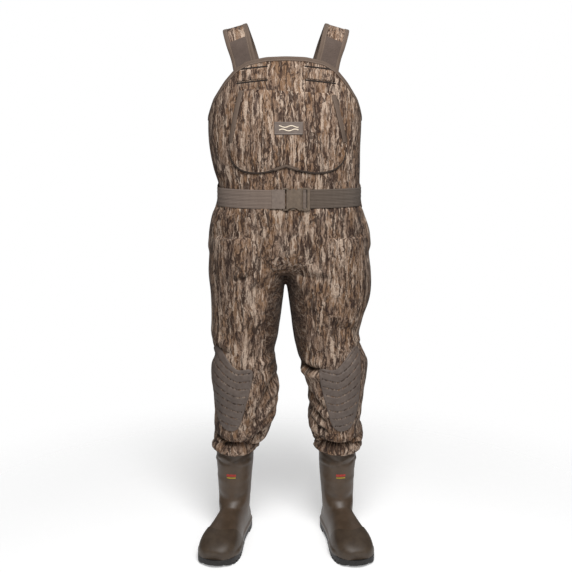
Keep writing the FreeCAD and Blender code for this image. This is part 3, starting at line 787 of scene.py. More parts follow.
def edge_binding(name, path, out, inward, profile, closed):
    """Tape round a cloth edge: path is the edge's middle, inward points into the cloth."""
    if closed:
        along = unit(np.roll(path, -1, 0) - np.roll(path, 1, 0))
    else:
        along = unit(np.gradient(path, axis=0))
    down = unit(np.cross(along, out))
    down = np.where((down * inward).sum(-1, keepdims=True) < 0, -down, down)
    return sweep(name, path, out, down, profile, closed, BINDING, "edge_tape")


def top_binding(top, normals):
    path = top[-1] - normals[-1] * NEOPRENE / 2
    piece = edge_binding("upper_edge_tape", path, normals[-1], top[-3] - top[-1],
                         u_profile(0.0028, 0.0012, TAPE), True)
    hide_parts("top_binding")
    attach(piece, "torso")


# ---- pocket and patches on the bib ----
# The pocket's lower edge, from its middle notch to one side: across and up.
POCKET_LOW = [(0, 1.101), (0.020, 1.094), (0.045, 1.087), (0.085, 1.083), (0.122, 1.092), (0.144, 1.115),
              (0.149, 1.150)]
POCKET_SIDE_TOP = 0.119
POCKET_TOP = 1.298
POCKET_LEFT_WIDER = 1.06
POCKET_SLOPE = -0.05  # its upper edge falls towards the wearer's left


def pocket_rise(x, z):
    """How far the pocket's outer face stands off the bib."""
    up = np.clip((z - 1.09) / 0.21, 0, 1)
    spots = np.stack(np.broadcast_arrays(x, 0.0, z), -1).reshape(-1, 3)
    slack = waves(spots, 0.05, 21).reshape(np.shape(x)) * 0.0016
    return 0.0048 + 0.0062 * np.sin(math.pi * up) ** 0.8 * (1 - 0.25 * (x / 0.15) ** 2) + slack


def pocket_grid():
    columns, rows = 181, 121
    s = np.linspace(-1, 1, columns)
    low = np.array(POCKET_LOW)
    run = np.concatenate([[0], np.cumsum(np.hypot(*np.diff(low, axis=0).T))])
    run /= run[-1]
    table = np.column_stack([run, low])
    xb, zb = between(table, np.abs(s)).T
    wide = np.where(s > 0, POCKET_LEFT_WIDER, 1.0)
    xb, xt = wide * np.sign(s) * xb, wide * s * POCKET_SIDE_TOP
    zt = POCKET_TOP + POCKET_SLOPE * xt
    t = np.linspace(0, 1, rows)[:, None]
    return xb + (xt - xb) * t, zb + (zt - zb) * t, s[None, :] + 0 * t, t + 0 * s


def chest_pocket():
    x, z, s, t = pocket_grid()
    p, n = front_frame(x, z)
    rise = pocket_rise(x, z)
    sewn = 0.80 + 0.20 * smoothstep(0, 0.035, t)
    sewn = sewn * (0.35 + 0.65 * smoothstep(0, 0.03, 1 - t))
    low_corner = smoothstep(0.0, 0.12, 1 - np.abs(s)) + smoothstep(0.0, 0.12, t)
    sewn = sewn * np.clip(0.5 + 0.5 * low_corner, 0, 1)
    groove = 0.0011 * hump(t - 0.030, 0.006) + 0.0011 * hump(1 - t - 0.035, 0.006)
    opening = 0.0045 * smoothstep(0.75, 1.0, np.abs(s)) * np.sin(math.pi * t) ** 1.2
    height = rise * sewn - groove + opening
    outer = p + n * height[..., None]
    inner = p + n * np.maximum(height - 0.0034, 0.0004)[..., None]
    rows, columns = x.shape
    faces, normals = facing(outer, np.array(grid_faces(rows, columns)), n.reshape(-1, 3))
    rest = np.stack([x + 0.31, 0 * x, z * 0.98 + 0.07], -1).reshape(-1, 3)
    pocket = shell_piece("chest_pocket_panel", outer.reshape(-1, 3), inner.reshape(-1, 3), normals, faces,
                         rest, [CAMO, LINING])
    finish_piece(pocket, "camo_neoprene", "chest_pocket")
    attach(pocket, "torso")
    grid_n = normals.reshape(rows, columns, 3)
    for name, side in SIDES:
        column = columns - 1 if side > 0 else 0
        keep = slice(14, rows - 3)
        path = outer[keep, column] - grid_n[keep, column] * 0.0017
        inward = outer[keep, column - side * 3] - outer[keep, column]
        piece = edge_binding("pocket_edge_tape_" + name, path, grid_n[keep, column], inward,
                             u_profile(0.0034, 0.001, 0.0115, 0.0015), False)
        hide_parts("pocket_binding_" + name)
        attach(piece, "torso")
    inward = outer[3] - outer[0]
    piping = edge_binding("pocket_lower_piping", outer[0] - grid_n[0] * 0.0018, grid_n[0], inward,
                          u_profile(0.0020, 0.0008, 0.0036, 0.0010), False)
    piping.data.materials[0] = PIPING
    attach(piping, "torso")
    notch = slice(columns // 2 - 15, columns // 2 + 16)
    cord = edge_binding("pocket_notch_tape", outer[0, notch] - grid_n[0, notch] * 0.0018, grid_n[0, notch],
                        inward[notch], u_profile(0.0031, 0.0008, 0.0068, 0.0018), False)
    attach(cord, "torso")
    return pocket


def patch_grid(x0, x1, z0, z1, step, rise, thick, round_edge, tilt=0.0):
    """A pillow-edged rectangle on the bib: its outer and inner points, its shape as a grid."""
    columns, rows = int((x1 - x0) / step) + 2, int((z1 - z0) / step) + 2
    u, v = np.meshgrid(np.linspace(0, 1, columns), np.linspace(0, 1, rows))
    x, z = x0 + (x1 - x0) * u, z0 + (z1 - z0) * v
    z = z + tilt * (x - (x0 + x1) / 2)
    base, n = front_frame(x, z)
    edge = np.minimum.reduce([u * (x1 - x0), (1 - u) * (x1 - x0), v * (z1 - z0), (1 - v) * (z1 - z0)])
    soft = np.sqrt(np.clip(1 - (1 - np.clip(edge / round_edge, 0, 1)) ** 2, 0, 1))
    low = rise(x, z) if callable(rise) else rise + 0 * x
    return x, z, base, n, low, low + thick * (0.25 + 0.75 * soft)


def patch(name, x0, x1, z0, z1, material, slot, node=None, step=0.0015, rise=0.0, thick=0.002,
          round_edge=0.002, relief=None, tilt=0.0):
    """A closed patch on the bib, made of the material, in place of the CAD node."""
    x, z, base, n, low, high = patch_grid(x0, x1, z0, z1, step, rise, thick, round_edge, tilt)
    if relief is not None:
        high = high + relief(x, z)
    outer, inner = base + n * high[..., None], base + n * low[..., None]
    faces, normals = facing(outer, np.array(grid_faces(*x.shape))[:, ::-1], n.reshape(-1, 3))
    rest = np.stack([x, 0 * x, z], -1).reshape(-1, 3)
    piece = shell_piece(name, outer.reshape(-1, 3), inner.reshape(-1, 3), normals, faces, rest,
                        [material, material])
    finish_piece(piece, slot, *([node] if node else []))
    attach(piece, "torso")
    return piece


def label_patch():
    """A blank moulded label with a raised border and two plain waves."""
    x0, x1, z0, z1 = -0.031, 0.045, 1.184, 1.218

    def relief(x, z):
        u, v = (x - x0) / (x1 - x0), (z - z0) / (z1 - z0)
        edge = np.minimum.reduce([u * (x1 - x0), (1 - u) * (x1 - x0), v * (z1 - z0), (1 - v) * (z1 - z0)])
        return 0.0006 * hump(edge - 0.0022, 0.0008)

    patch("label_base", x0, x1, z0, z1, LABEL, "rubber_label", "label_patch", 0.0008,
          lambda x, z: pocket_rise(x, z) - 0.0008, 0.0026, 0.0015, relief)
    for k, height in enumerate((1.1965, 1.2055)):
        t = np.linspace(0, 1, 80)
        x = -0.018 + 0.050 * t
        z = height + 0.0022 * np.sin(2 * math.pi * (1.5 * t + 0.3 * k))
        base, n = front_frame(x, z)
        path = base + n * (pocket_rise(x, z) + 0.0022)[:, None]
        along = unit(np.gradient(path, axis=0))
        ring = [(0.0006 * math.cos(a), 0.0013 * math.sin(a)) for a in np.linspace(0, 2 * math.pi, 10)[:-1]]
        wave = sweep("label_wave_%d" % (k + 1), path, n, unit(np.cross(along, n)), ring, False, LABEL_PALE,
                     "rubber_label")
        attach(wave, "torso")


def strap_keepers():
    """On each side of the bib: a sewn camouflage tab, with a dark patch above and below it as painted shadow
    in its slots.
    """
    for name, side in SIDES:
        x0, x1 = sorted((side * 0.050, side * 0.130))
        tilt = -0.10 * side
        patch("strap_tab_" + name, x0, x1, 1.3265, 1.3535, CAMO, "camo_neoprene", "strap_keeper_" + name,
              thick=0.0030, tilt=tilt)
        # dark patches laid on the bib as painted shadow in the slots above and below the tab
        for place, low in (("upper", 1.3560), ("lower", 1.3205)):
            patch("tab_slot_shadow_%s_%s" % (place, name), x0 - 0.001, x1 + 0.002, low, low + 0.0040, SLOT_SHADOW,
                  "edge_tape", step=0.0011, thick=0.0012, round_edge=0.001, tilt=tilt)


# ---- shoulder straps ----
STRAP_HALF, STRAP_THICK = 0.033, 0.005
STRAP_FRONT = [(0.097, 1.312, 0.0140), (0.105, 1.345, 0.0122), (0.114, 1.385, 0.0116)]
STRAP_BACK = [(0.103, 1.372, 0.0110), (0.092, 1.328, 0.0102), (0.088, 1.300, 0.0100), (0.087, 1.264, 0.0100)]
# Over the shoulder: across, back from the mid plane, up, how much the outer edge droops and turns back.
STRAP_TOP = [
    (0.125, -0.082, 1.424, 0.14, 0.28), (0.134, -0.056, 1.456, 0.22, 0.10), (0.138, -0.014, 1.471, 0.28, 0.0),
    (0.133, 0.036, 1.458, 0.22, -0.10), (0.119, 0.074, 1.419, 0.14, -0.24),
]
STRAP_ROWS = 150


def strap_line(side):
    """Points along the strap with the directions across it and out of its outer face."""
    def against(x, z, depth, face):
        ends = [np.array([e, float(body_y(e, z, face, -depth)), z]) for e in (x - STRAP_HALF, x + STRAP_HALF)]
        return (ends[0] + ends[1]) / 2, unit(ends[1] - ends[0])

    line = [against(x, z, depth, -1) for x, z, depth in STRAP_FRONT]
    for x, y, z, droop, turn in STRAP_TOP:
        line.append((np.array([x, y + BODY_Y, z]), unit(np.array([1, turn, -droop]))))
    line += [against(x, z, depth, 1) for x, z, depth in STRAP_BACK]
    table = [(i, *p, *(p + a * STRAP_HALF)) for i, (p, a) in enumerate(line)]
    place = between(table, np.linspace(0, len(line) - 1, STRAP_ROWS))
    middle, edge = place[:, :3], place[:, 3:]
    along = unit(np.gradient(middle, axis=0))
    across = edge - middle
    across = unit(across - along * (along * across).sum(-1, keepdims=True))
    out = np.cross(across, along)
    if side < 0:
        mirror = np.array([-1, 1, 1])
        middle, across, out = middle * mirror, across * mirror, out * mirror
    return middle, across, out


def strap_profile(columns):
    """Across and out, once round the strap's section, with rounded sides and a slight crown."""
    s = np.linspace(-1, 1, columns)
    crown = STRAP_THICK / 2 * (1 - np.abs(s) ** 12) ** 0.5
    upper = [(STRAP_HALF * a, b) for a, b in zip(s, crown)]
    lower = [(STRAP_HALF * a, -b) for a, b in zip(s[::-1], crown)]
    return np.array(upper + lower[1:-1])


def blend_strap(piece):
    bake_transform(piece)


def straps():
    for name, side in SIDES:
        middle, across, out = strap_line(side)
        run = run_along(middle)
        profile = strap_profile(29)
        wave = 0.0008 * np.sin(run * 2 * math.pi / 0.060 + side)[:, None]
        rings = middle[:, None] + across[:, None] * profile[None, :, :1] + out[:, None] * profile[None, :, 1:]
        rings = rings + out[:, None] * (wave * np.abs(profile[None, :, 0] / STRAP_HALF) ** 2)[..., None]
        strap = tube("shoulder_strap_cloth_" + name, rings)
        rest = np.stack(np.broadcast_arrays(profile[None, :, 0] + side * 0.5, profile[None, :, 1] * 0.2,
                                            run[:, None] + 2.0), -1)
        keep_vector(strap, "rest", rest.reshape(-1, 3))
        strap.data.materials.append(CAMO)
        fix_normals(strap)
        modifier(strap, "EDGE_SPLIT", split_angle=math.radians(60))
        finish_piece(strap, "camo_neoprene", "shoulder_strap_" + name, "strap_root_" + name)
        blend_strap(strap)
        for edge_name, edge in (("inner", -1), ("outer", 1)):
            path = middle + across * edge * STRAP_HALF
            tape_piece = edge_binding("strap_tape_%s_%s" % (edge_name, name), path, out, -across * edge,
                                      u_profile(0.0027, 0.0011, 0.0105, 0.002), False)
            blend_strap(tape_piece)
        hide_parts("strap_binding_" + name)
        loop_patch(name, middle, across, out, run)


def loop_patch(name, middle, across, out, run):
    """Soft hook-and-loop pile on the strap's outer face, where it meets the bib."""
    rows = np.nonzero((middle[:, 2] < 1.434) & (run < run[-1] / 2))[0]
    half = STRAP_HALF - 0.0095
    s = np.linspace(-1, 1, 41)
    lift = STRAP_THICK / 2 + 0.0014
    rest = np.stack(np.broadcast_arrays(s[None] * half, run[rows][:, None], 0.0), -1).reshape(-1, 3)
    high = lift + 0.0004 * waves(rest, 0.004, 17).reshape(len(rows), -1)
    high = high - 0.0012 * (np.abs(s[None]) > 0.99)
    p = middle[rows][:, None] + across[rows][:, None] * (half * s)[None, :, None]
    outer = (p + out[rows][:, None] * high[..., None]).reshape(-1, 3)
    inner = (p + out[rows][:, None] * (STRAP_THICK / 2)).reshape(-1, 3)
    faces, normals = facing(outer, np.array(grid_faces(len(rows), len(s))), np.repeat(out[rows], len(s), 0))
    piece = shell_piece("loop_pile_" + name, outer, inner, normals, faces, rest, [LOOP, LOOP])
    finish_piece(piece, "hook_and_loop", "loop_patch_" + name)
    blend_strap(piece)


# ---- belt ----
BUCKLE_LEFT, BUCKLE_RIGHT = 0.060, -0.030  # where the belt's webbing meets the buckle


def belt():
    """The webbing round the body, a little slack, with its ribbed weave and turned-in sides."""
    count = 420
    angle = np.linspace(0, 2 * math.pi, 4001)
    ring = body_point(angle, 1.0145, 0.0032)
    front = ring[:, 1] < 0
    keep = ~(front & (ring[:, 0] < BUCKLE_LEFT) & (ring[:, 0] > BUCKLE_RIGHT))
    start = int(np.nonzero(keep & front & (ring[:, 0] >= BUCKLE_LEFT))[0][0])
    order = (start + np.arange(len(ring))) % len(ring)
    order = order[keep[order]]
    line = ring[order]
    run = run_along(line)
    at = np.linspace(0, run[-1], count)
    line = np.stack([np.interp(at, run, line[:, k]) for k in range(3)], -1)
    line[:, 2] = (BELT_LOW + BELT_HIGH) / 2 + 0.0012 * np.sin(at * 2 * math.pi / 0.55)
    along = unit(np.gradient(line, axis=0))
    up = np.broadcast_to([0.0, 0.0, 1.0], line.shape)
    out = unit(np.cross(along, up))
    half = (BELT_HIGH - BELT_LOW) / 2
    s = np.linspace(-1, 1, 25)
    face = 0.0011 - 0.0007 * (np.abs(s) > 0.97) + 0.0003 * np.cos(s * math.pi * 4.0)
    profile = [(b, half * a) for a, b in zip(s, face)] + [(-0.0009, half * a) for a in s[::-1]]
    piece = sweep("waist_belt", line, out, up, profile, False, WEB_PALE, "webbing")
    piece.modifiers.clear()
    piece.data.materials.append(WEB_DARK)
    for polygon in piece.data.polygons:  # the wearer's left front half is the darker, adjustable run
        polygon.material_index = int(polygon.center.x > 0 and polygon.center.y < BODY_Y + 0.03)
    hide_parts("belt_webbing")
    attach(piece, "torso")
    for name, place in (("left", 0.22), ("right", math.pi - 0.22), ("back", math.pi / 2)):
        belt_loop(name, place)


def belt_loop(name, place):
    """A narrow cloth loop sewn to the body above and below the belt."""
    heights = np.linspace(BELT_LOW - 0.015, BELT_HIGH + 0.015, 60)
    middle = (BELT_LOW + BELT_HIGH) / 2
    lift = 0.0012 + 0.0052 * smoothstep(0.040, 0.028, np.abs(heights - middle))
    path = body_point(np.full(60, place), heights)
    outward = unit(body_point(np.full(60, place), heights, 0.01) - path)
    outward[:, 2] = 0
    path = path + unit(outward) * lift[:, None]
    down = unit(np.cross(unit(np.gradient(path, axis=0)), outward))
    half = 0.012
    s = np.linspace(-1, 1, 13)
    profile = [(0.0010 - 0.0005 * (abs(a) > 0.95), half * a) for a in s]
    profile += [(-0.0008, half * a) for a in s[::-1]]
    loop = sweep("belt_keeper_" + name, path, outward, down, profile, False, CAMO, "camo_neoprene")
    keep_vector(loop, "rest", points_of(loop))
    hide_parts("belt_loop_" + name)
    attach(loop, "torso")


# ---- trousers ----
# Folds as seen from the front: a path across and up, the height of its ridge, its width above and below.
FOLDS = {
    "right": [
        ([(-0.142, 0.796), (-0.115, 0.802), (-0.086, 0.816)], 0.0045, 0.016, 0.004),
        ([(-0.012, 0.832), (-0.050, 0.800), (-0.095, 0.760), (-0.120, 0.715)], 0.0050, 0.022, 0.020),
        ([(-0.030, 0.745), (-0.060, 0.700), (-0.085, 0.640)], 0.0040, 0.018, 0.018),
        ([(-0.208, 0.628), (-0.185, 0.605), (-0.150, 0.590)], 0.0050, 0.016, 0.010),
        ([(-0.028, 0.562), (-0.050, 0.548), (-0.075, 0.545)], 0.0065, 0.016, 0.007),
        ([(-0.028, 0.520), (-0.052, 0.470), (-0.078, 0.425), (-0.100, 0.395)], 0.0070, 0.015, 0.009),
        ([(-0.030, 0.465), (-0.055, 0.425), (-0.085, 0.385), (-0.110, 0.355)], 0.0060, 0.012, 0.008),
        ([(-0.036, 0.420), (-0.060, 0.385), (-0.090, 0.350)], 0.0050, 0.010, 0.007),
        ([(-0.212, 0.334), (-0.190, 0.316), (-0.155, 0.306), (-0.120, 0.310), (-0.085, 0.330),
          (-0.055, 0.362)], 0.0092, 0.030, 0.008),
    ],
    "left": [
        ([(0.012, 0.838), (0.060, 0.812), (0.120, 0.800)], 0.0045, 0.022, 0.016),
        ([(0.020, 0.790), (0.055, 0.745), (0.085, 0.690)], 0.0045, 0.020, 0.018),
        ([(0.120, 0.700), (0.160, 0.670), (0.205, 0.655)], 0.0035, 0.020, 0.016),
        ([(0.235, 0.585), (0.215, 0.600), (0.185, 0.612)], 0.0050, 0.014, 0.010),
        ([(0.045, 0.548), (0.072, 0.536), (0.100, 0.540)], 0.0080, 0.018, 0.007),
        ([(0.068, 0.468), (0.088, 0.440), (0.110, 0.420)], 0.0050, 0.011, 0.008),
        ([(0.072, 0.432), (0.092, 0.400), (0.118, 0.372)], 0.0065, 0.012, 0.008),
        ([(0.074, 0.392), (0.096, 0.362), (0.122, 0.345)], 0.0060, 0.011, 0.007),
        ([(0.082, 0.330), (0.110, 0.312), (0.150, 0.303), (0.190, 0.308), (0.220, 0.330)],
         0.0086, 0.024, 0.008),
    ],
}


def lip(above, height, high, low):
    """A fold that swells gently above its line and drops sharply below it."""
    rise = hump(above - 0.55 * high, 0.75 * high)
    dip = hump(above + low, 1.1 * low)
    return height * (rise - 0.45 * dip)


def furrow_shape(above, depth, width):
    """A sharp furrow between two rolls of cloth, of which the lower one stands out further."""
    furrow = hump(above, width)
    lower = hump(above + 2.3 * width, 1.5 * width)
    upper = hump(above - 2.6 * width, 1.9 * width)
    return depth * (0.75 * lower + 0.45 * upper - furrow)


SHIN_FOLDS = 0.56  # below this the loose cloth is creased, above it the folds are soft
FURROW_DEPTH, LIP_HEIGHT = 1.9, 1.35  # how far each kind of fold stands out, against its height in the table
SEAM_WIDTH = 0.0022
CREASE_STEPS = 14  # how widely the surface is evened out to tell what lies in a fold, for the painted crease shade
GUSSET_TOP, GUSSET_LOW = 0.808, 0.52


def front_folds(co, normals):
    """How far the folds in the table lift the cloth at each point of the front."""
    lift = np.zeros(len(co))
    ahead = smoothstep(-0.25, 0.35, -normals[:, 1])
    for name, side in SIDES:
        own = co[:, 0] * side > -0.005
        for path, height, high, low in FOLDS[name]:
            d, sign, along = path_distance(co[:, 0], co[:, 2], path)
            d = d * sign
            ends = smoothstep(0.0, 0.22, along) * smoothstep(0.0, 0.22, 1 - along)
            reach = smoothstep(4 * high, 2 * high, np.abs(d))
            below_knee = path[0][1] < SHIN_FOLDS
            if below_knee:
                shape = furrow_shape(d, FURROW_DEPTH * height, low)
            else:
                shape = lip(d, LIP_HEIGHT * height, high, low)
            lift += own * ahead * (0.15 + 0.85 * ends) * reach * shape
    return lift


def back_folds(co, normals):
    """Creases behind the knees, under the seat and down the back of the shins."""
    lift = np.zeros(len(co))
    behind = smoothstep(-0.1, 0.5, normals[:, 1])
    for name, side in SIDES:
        own = co[:, 0] * side > 0
        wander = waves(co, 0.09, 31 + side, (1, 1, 0.3)) * 0.012
        for k, (z, height, high, tilt) in enumerate((
            (0.792, 0.0080, 0.028, 0.10), (0.757, 0.0040, 0.018, -0.12), (0.560, 0.0045, 0.014, -0.15),
            (0.527, 0.0070, 0.015, 0.12), (0.494, 0.0080, 0.014, -0.08), (0.462, 0.0060, 0.013, 0.16),
            (0.425, 0.0050, 0.014, -0.14), (0.385, 0.0065, 0.014, 0.10), (0.352, 0.0080, 0.014, -0.06),
            (0.320, 0.0100, 0.015, 0.05),
        )):
            above = co[:, 2] - z - wander - tilt * (np.abs(co[:, 0]) - 0.13) * (1 if k % 2 else side)
            reach = smoothstep(3.5 * high, 2 * high, np.abs(above))
            lift += own * behind * reach * lip(above, height, high, 0.006)
    return lift


def cuff_rolls(co):
    """The trouser's end, pushed up into soft rolls over the boot."""
    z = co[:, 2] + waves(co, 0.07, 41, (1, 1, 0.2)) * 0.004
    roll = 0.0135 * hump(z - 0.2830, 0.0085) - 0.0125 * hump(z - 0.3020, 0.0060)
    pleats = waves(co, 0.018, 43, (1, 1, 0.25)) * 0.0034 * smoothstep(0.335, 0.290, co[:, 2])
    return roll + pleats


def general_waves(co):
    """The even unrest of loose cloth, stronger below the knee, and the gathers under the belt."""
    lower = smoothstep(0.60, 0.42, co[:, 2])
    slow = waves(co, 0.085, 51, (1, 1, 0.7)) * (0.0022 + 0.0030 * lower)
    diagonal = waves(co @ np.array([[1, 0, 0.5], [0, 1, 0], [-0.5, 0, 1]]), 0.045, 53, (0.6, 1, 1.2))
    quick = waves(co, 0.022, 55, (1, 1, 0.6)) * 0.0011 * (0.3 + lower)
    gather = waves(co, 0.022, 9, (1, 1, 0.15)) * 0.0030 * np.exp(-np.clip(BELT_LOW - co[:, 2], 0, 1) / 0.018)
    return slow + diagonal * (0.0010 + 0.0026 * lower) + quick + gather


def leg_form(name, side):
    heights = np.arange(0.905, 0.236, -0.006)
    x0, x1, front, back = between(LEG[name], heights).T
    low, high = (x0, x1) if side > 0 else (-x1, -x0)
    angle = 2 * math.pi * np.arange(96) / 96
    x, y = section(angle[None], low[:, None], high[:, None], front[:, None], back[:, None], LEG_POWER)
    return tube("form", np.stack([x, y, np.broadcast_to(heights[:, None], x.shape)], -1))


def torso_form():
    heights = np.arange(1.048, 0.794, -0.006)
    angle = 2 * math.pi * np.arange(128) / 128
    return tube("form", body_point(angle[None], np.broadcast_to(heights[:, None], (len(heights), 128))))


def cut_open(obj, low, high):
    """Takes away what is below low and above high, and leaves the ends open."""
    bm = bmesh.new()
    bm.from_mesh(obj.data)
    ends = [f for f in bm.faces if not low < f.calc_center_median().z < high]
    bmesh.ops.delete(bm, geom=ends, context="FACES")
    bm.to_mesh(obj.data)
    bm.free()


SETTLE_FRAMES, SETTLE_REACH = 20, 0.005  # the simulation's length, and how far it may move a point


def settle(obj, pinned):
    """A short cloth simulation: slack cloth with air in it, held at its pinned ends."""
    before = points_of(obj).copy()
    group = obj.vertex_groups.new(name="pin")
    for level in np.unique(np.round(pinned, 1)):
        if level > 0:
            group.add(np.nonzero(np.round(pinned, 1) == level)[0].tolist(), float(level), "REPLACE")
    cloth = obj.modifiers.new("Cloth", "CLOTH")
    s = cloth.settings
    s.quality, s.mass, s.air_damping = 5, 0.3, 4.0
    s.tension_stiffness = s.compression_stiffness = 12
    s.shear_stiffness, s.bending_stiffness = 5, 1.5
    s.shrink_min, s.vertex_group_mass = -0.05, "pin"
    s.use_pressure, s.uniform_pressure_force = True, 3.0
    s.effector_weights.gravity = 0
    cloth.collision_settings.use_collision = False
    cloth.point_cache.frame_start, cloth.point_cache.frame_end = 1, SETTLE_FRAMES
    scene = bpy.context.scene
    for f in range(1, SETTLE_FRAMES + 1):
        scene.frame_set(f)
    shown = obj.evaluated_get(bpy.context.evaluated_depsgraph_get()).to_mesh()
    after = np.empty(len(before) * 3)
    shown.vertices.foreach_get("co", after)
    obj.modifiers.remove(cloth)
    obj.vertex_groups.clear()
    scene.frame_set(1)
    move = after.reshape(-1, 3) - before
    length = np.linalg.norm(move, axis=1, keepdims=True)
    move *= np.minimum(1, SETTLE_REACH / np.maximum(length, 1e-9))
    set_points(obj, before + move)


def trousers_form():
    parts = [torso_form(), leg_form("left", 1), leg_form("right", -1)]
    form = remesh(join(parts), VOXEL, 3)
    cut_open(form, HEM - 0.003, WAIST_SEAM + 0.004)
    rest = points_of(form).copy()
    normals = normals_of(form).copy()
    keep_vector(form, "rest", rest)
    ends = smoothstep(HEM - 0.002, HEM + 0.012, rest[:, 2]) * smoothstep(WAIST_SEAM, 0.985, rest[:, 2])
    lift = front_folds(rest, normals) + back_folds(rest, normals) + general_waves(rest)
    set_points(form, rest + normals * (lift * ends + cuff_rolls(rest))[:, None])
    pinned = np.maximum(smoothstep(0.992, 1.008, rest[:, 2]), smoothstep(0.300, 0.280, rest[:, 2]))
    settle(form, pinned)
    modifier(form, "SUBSURF", levels=1, render_levels=1)
    apply_all(form)
    return form


def seams(rest, normals):
    """How far the side, gusset and centre seams draw the cloth in."""
    lift = -0.0011 * (hump(rest[:, 0], SEAM_WIDTH) * smoothstep(0.79, 0.82, rest[:, 2]))
    for side in (1, -1):
        edge = hump(rest[:, 0] - side * gusset_edge(rest[:, 2]), SEAM_WIDTH)
        lift -= 0.0010 * edge * (normals[:, 1] < 0.2) * smoothstep(0.80, 0.78, rest[:, 2])
    side_seam = hump(rest[:, 1] - BODY_Y, SEAM_WIDTH) * (np.abs(normals[:, 0]) > 0.7)
    lift -= 0.0010 * side_seam * (np.abs(rest[:, 0]) > 0.12)
    return lift


def crease_shade_depth(outer, normals, faces):
    """How deep each point lies in a fold, from 0 to 1: the print is darkened there as painted shade."""
    even = soften(outer, faces, CREASE_STEPS)
    sunk = ((even - outer) * normals).sum(-1)
    return smoothstep(0.0003, 0.0022, sunk)


def gusset_edge(z):
    """How far from the middle the inner-thigh panel reaches on the front, at each height."""
    return np.interp(z, [0.45, 0.60, 0.70, 0.76, 0.81], [0.044, 0.058, 0.054, 0.044, 0.012])


def bend_knee(piece):
    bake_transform(piece)


def trousers():
    form = trousers_form()
    data = np.empty(len(form.data.vertices) * 3)
    form.data.attributes["rest"].data.foreach_get("vector", data)
    rest = data.reshape(-1, 3)
    normals = normals_of(form).copy()
    outer = points_of(form).copy()
    outer = outer + normals * seams(rest, normals)[:, None]
    set_points(form, outer)
    normals = normals_of(form).copy()
    faces = quads_of(form)
    bpy.data.objects.remove(form)
    inner = outer - normals * NEOPRENE
    middle = rest[faces].mean(1)
    face_normal = normals[faces].mean(1)
    # the gusset faces, whose print is darker partly as painted shade between the thighs
    inside = np.abs(middle[:, 0]) < gusset_edge(middle[:, 2])
    inside &= (middle[:, 2] < GUSSET_TOP) & (middle[:, 2] > GUSSET_LOW)
    inside &= face_normal[:, 0] * np.sign(middle[:, 0]) < 0.5
    surface = BVHTree.FromPolygons(outer.tolist(), faces.tolist())
    # painted shade: how deep each point lies in a fold, which darkens the print there
    crease = crease_shade_depth(outer, normals, faces)

    def part(name, chosen, slot, *nodes):
        piece = shell_piece(name, outer, inner, normals, faces[chosen], rest, [CAMO, GUSSET_WITH_SHADE, LINING],
                            inside[chosen].astype(np.int32), crease)
        return finish_piece(piece, slot, *nodes)

    z, x = middle[:, 2], middle[:, 0]
    hips = part("hip_section", z >= HIP_TOP, "camo_neoprene", "seat_left", "seat_right")
    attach(hips, "torso")
    for name, side in SIDES:
        own = x * side > 0
        thigh = part("thigh_cover_" + name, (z < HIP_TOP) & (z >= KNEE_TOP) & own, "camo_neoprene",
                     "thigh_" + name)
        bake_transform(thigh)
        shin = part("shin_cover_" + name, (z < KNEE_TOP) & own, "camo_neoprene",
                    "knee_section_" + name, "shin_" + name, "leg_cuff_" + name)
        bend_knee(shin)
    return surface


# ---- knee pads ----
# The outline of the left leg's pad, across and up.
PAD_OUTLINE = [(0.091, 0.525), (0.094, 0.537), (0.106, 0.540), (0.130, 0.536), (0.144, 0.541), (0.160, 0.560),
               (0.178, 0.584), (0.192, 0.597), (0.203, 0.594), (0.209, 0.575), (0.211, 0.520), (0.208, 0.450),
               (0.201, 0.395), (0.189, 0.363), (0.173, 0.349), (0.155, 0.346), (0.139, 0.354), (0.127, 0.375),
               (0.114, 0.425), (0.099, 0.480)]
PAD_LINES, PAD_LOW, PAD_PITCH, PAD_DASH = 9, 0.366, 0.0225, 0.0150


def inside_outline(x, z, outline):
    """The distance of each (x, z) inside a closed outline, negative outside it."""
    path = outline + outline[:1]
    distance = path_distance(x, z, path)[0]
    crossings = np.zeros(len(x), int)
    for (ax, az), (bx, bz) in zip(path, path[1:]):
        spans = (az > z) != (bz > z)
        meet = ax + (z - az) / (bz - az + 1e-12) * (bx - ax)
        crossings += spans & (x < meet)
    return np.where(crossings % 2 == 1, distance, -distance)


def smooth_outline(points, times=2):
    """Rounds a closed outline's corners by cutting them."""
    p = np.array(points)
    for _ in range(times):
        after = np.roll(p, -1, 0)
        p = np.stack([0.75 * p + 0.25 * after, 0.25 * p + 0.75 * after], 1).reshape(-1, 2)
    return [tuple(q) for q in p]


def pad_groove(x, z, name):
    """1 in the chevron lines between the pad's bands, and the height each point's own chevron starts at."""
    u = np.clip((x - 0.091) / 0.118, 0, 1)
    apex = 0.46 if name == "left" else 0.38
    outer, inner = np.clip((u - apex) / (1 - apex), 0, 1), np.clip((apex - u) / apex, 0, 1)
    steep = np.clip((z - 0.36) / 0.22, 0, 1)
    rise = (0.012 + 0.050 * steep) * outer**1.25 + (0.013 if name == "left" else 0.005) * inner**1.4
    level = z - rise
    groove = np.zeros(len(x))
    for k in range(PAD_LINES):
        groove = np.maximum(groove, hump(level - (PAD_LOW + PAD_PITCH * k), 0.0021))
    return groove, level


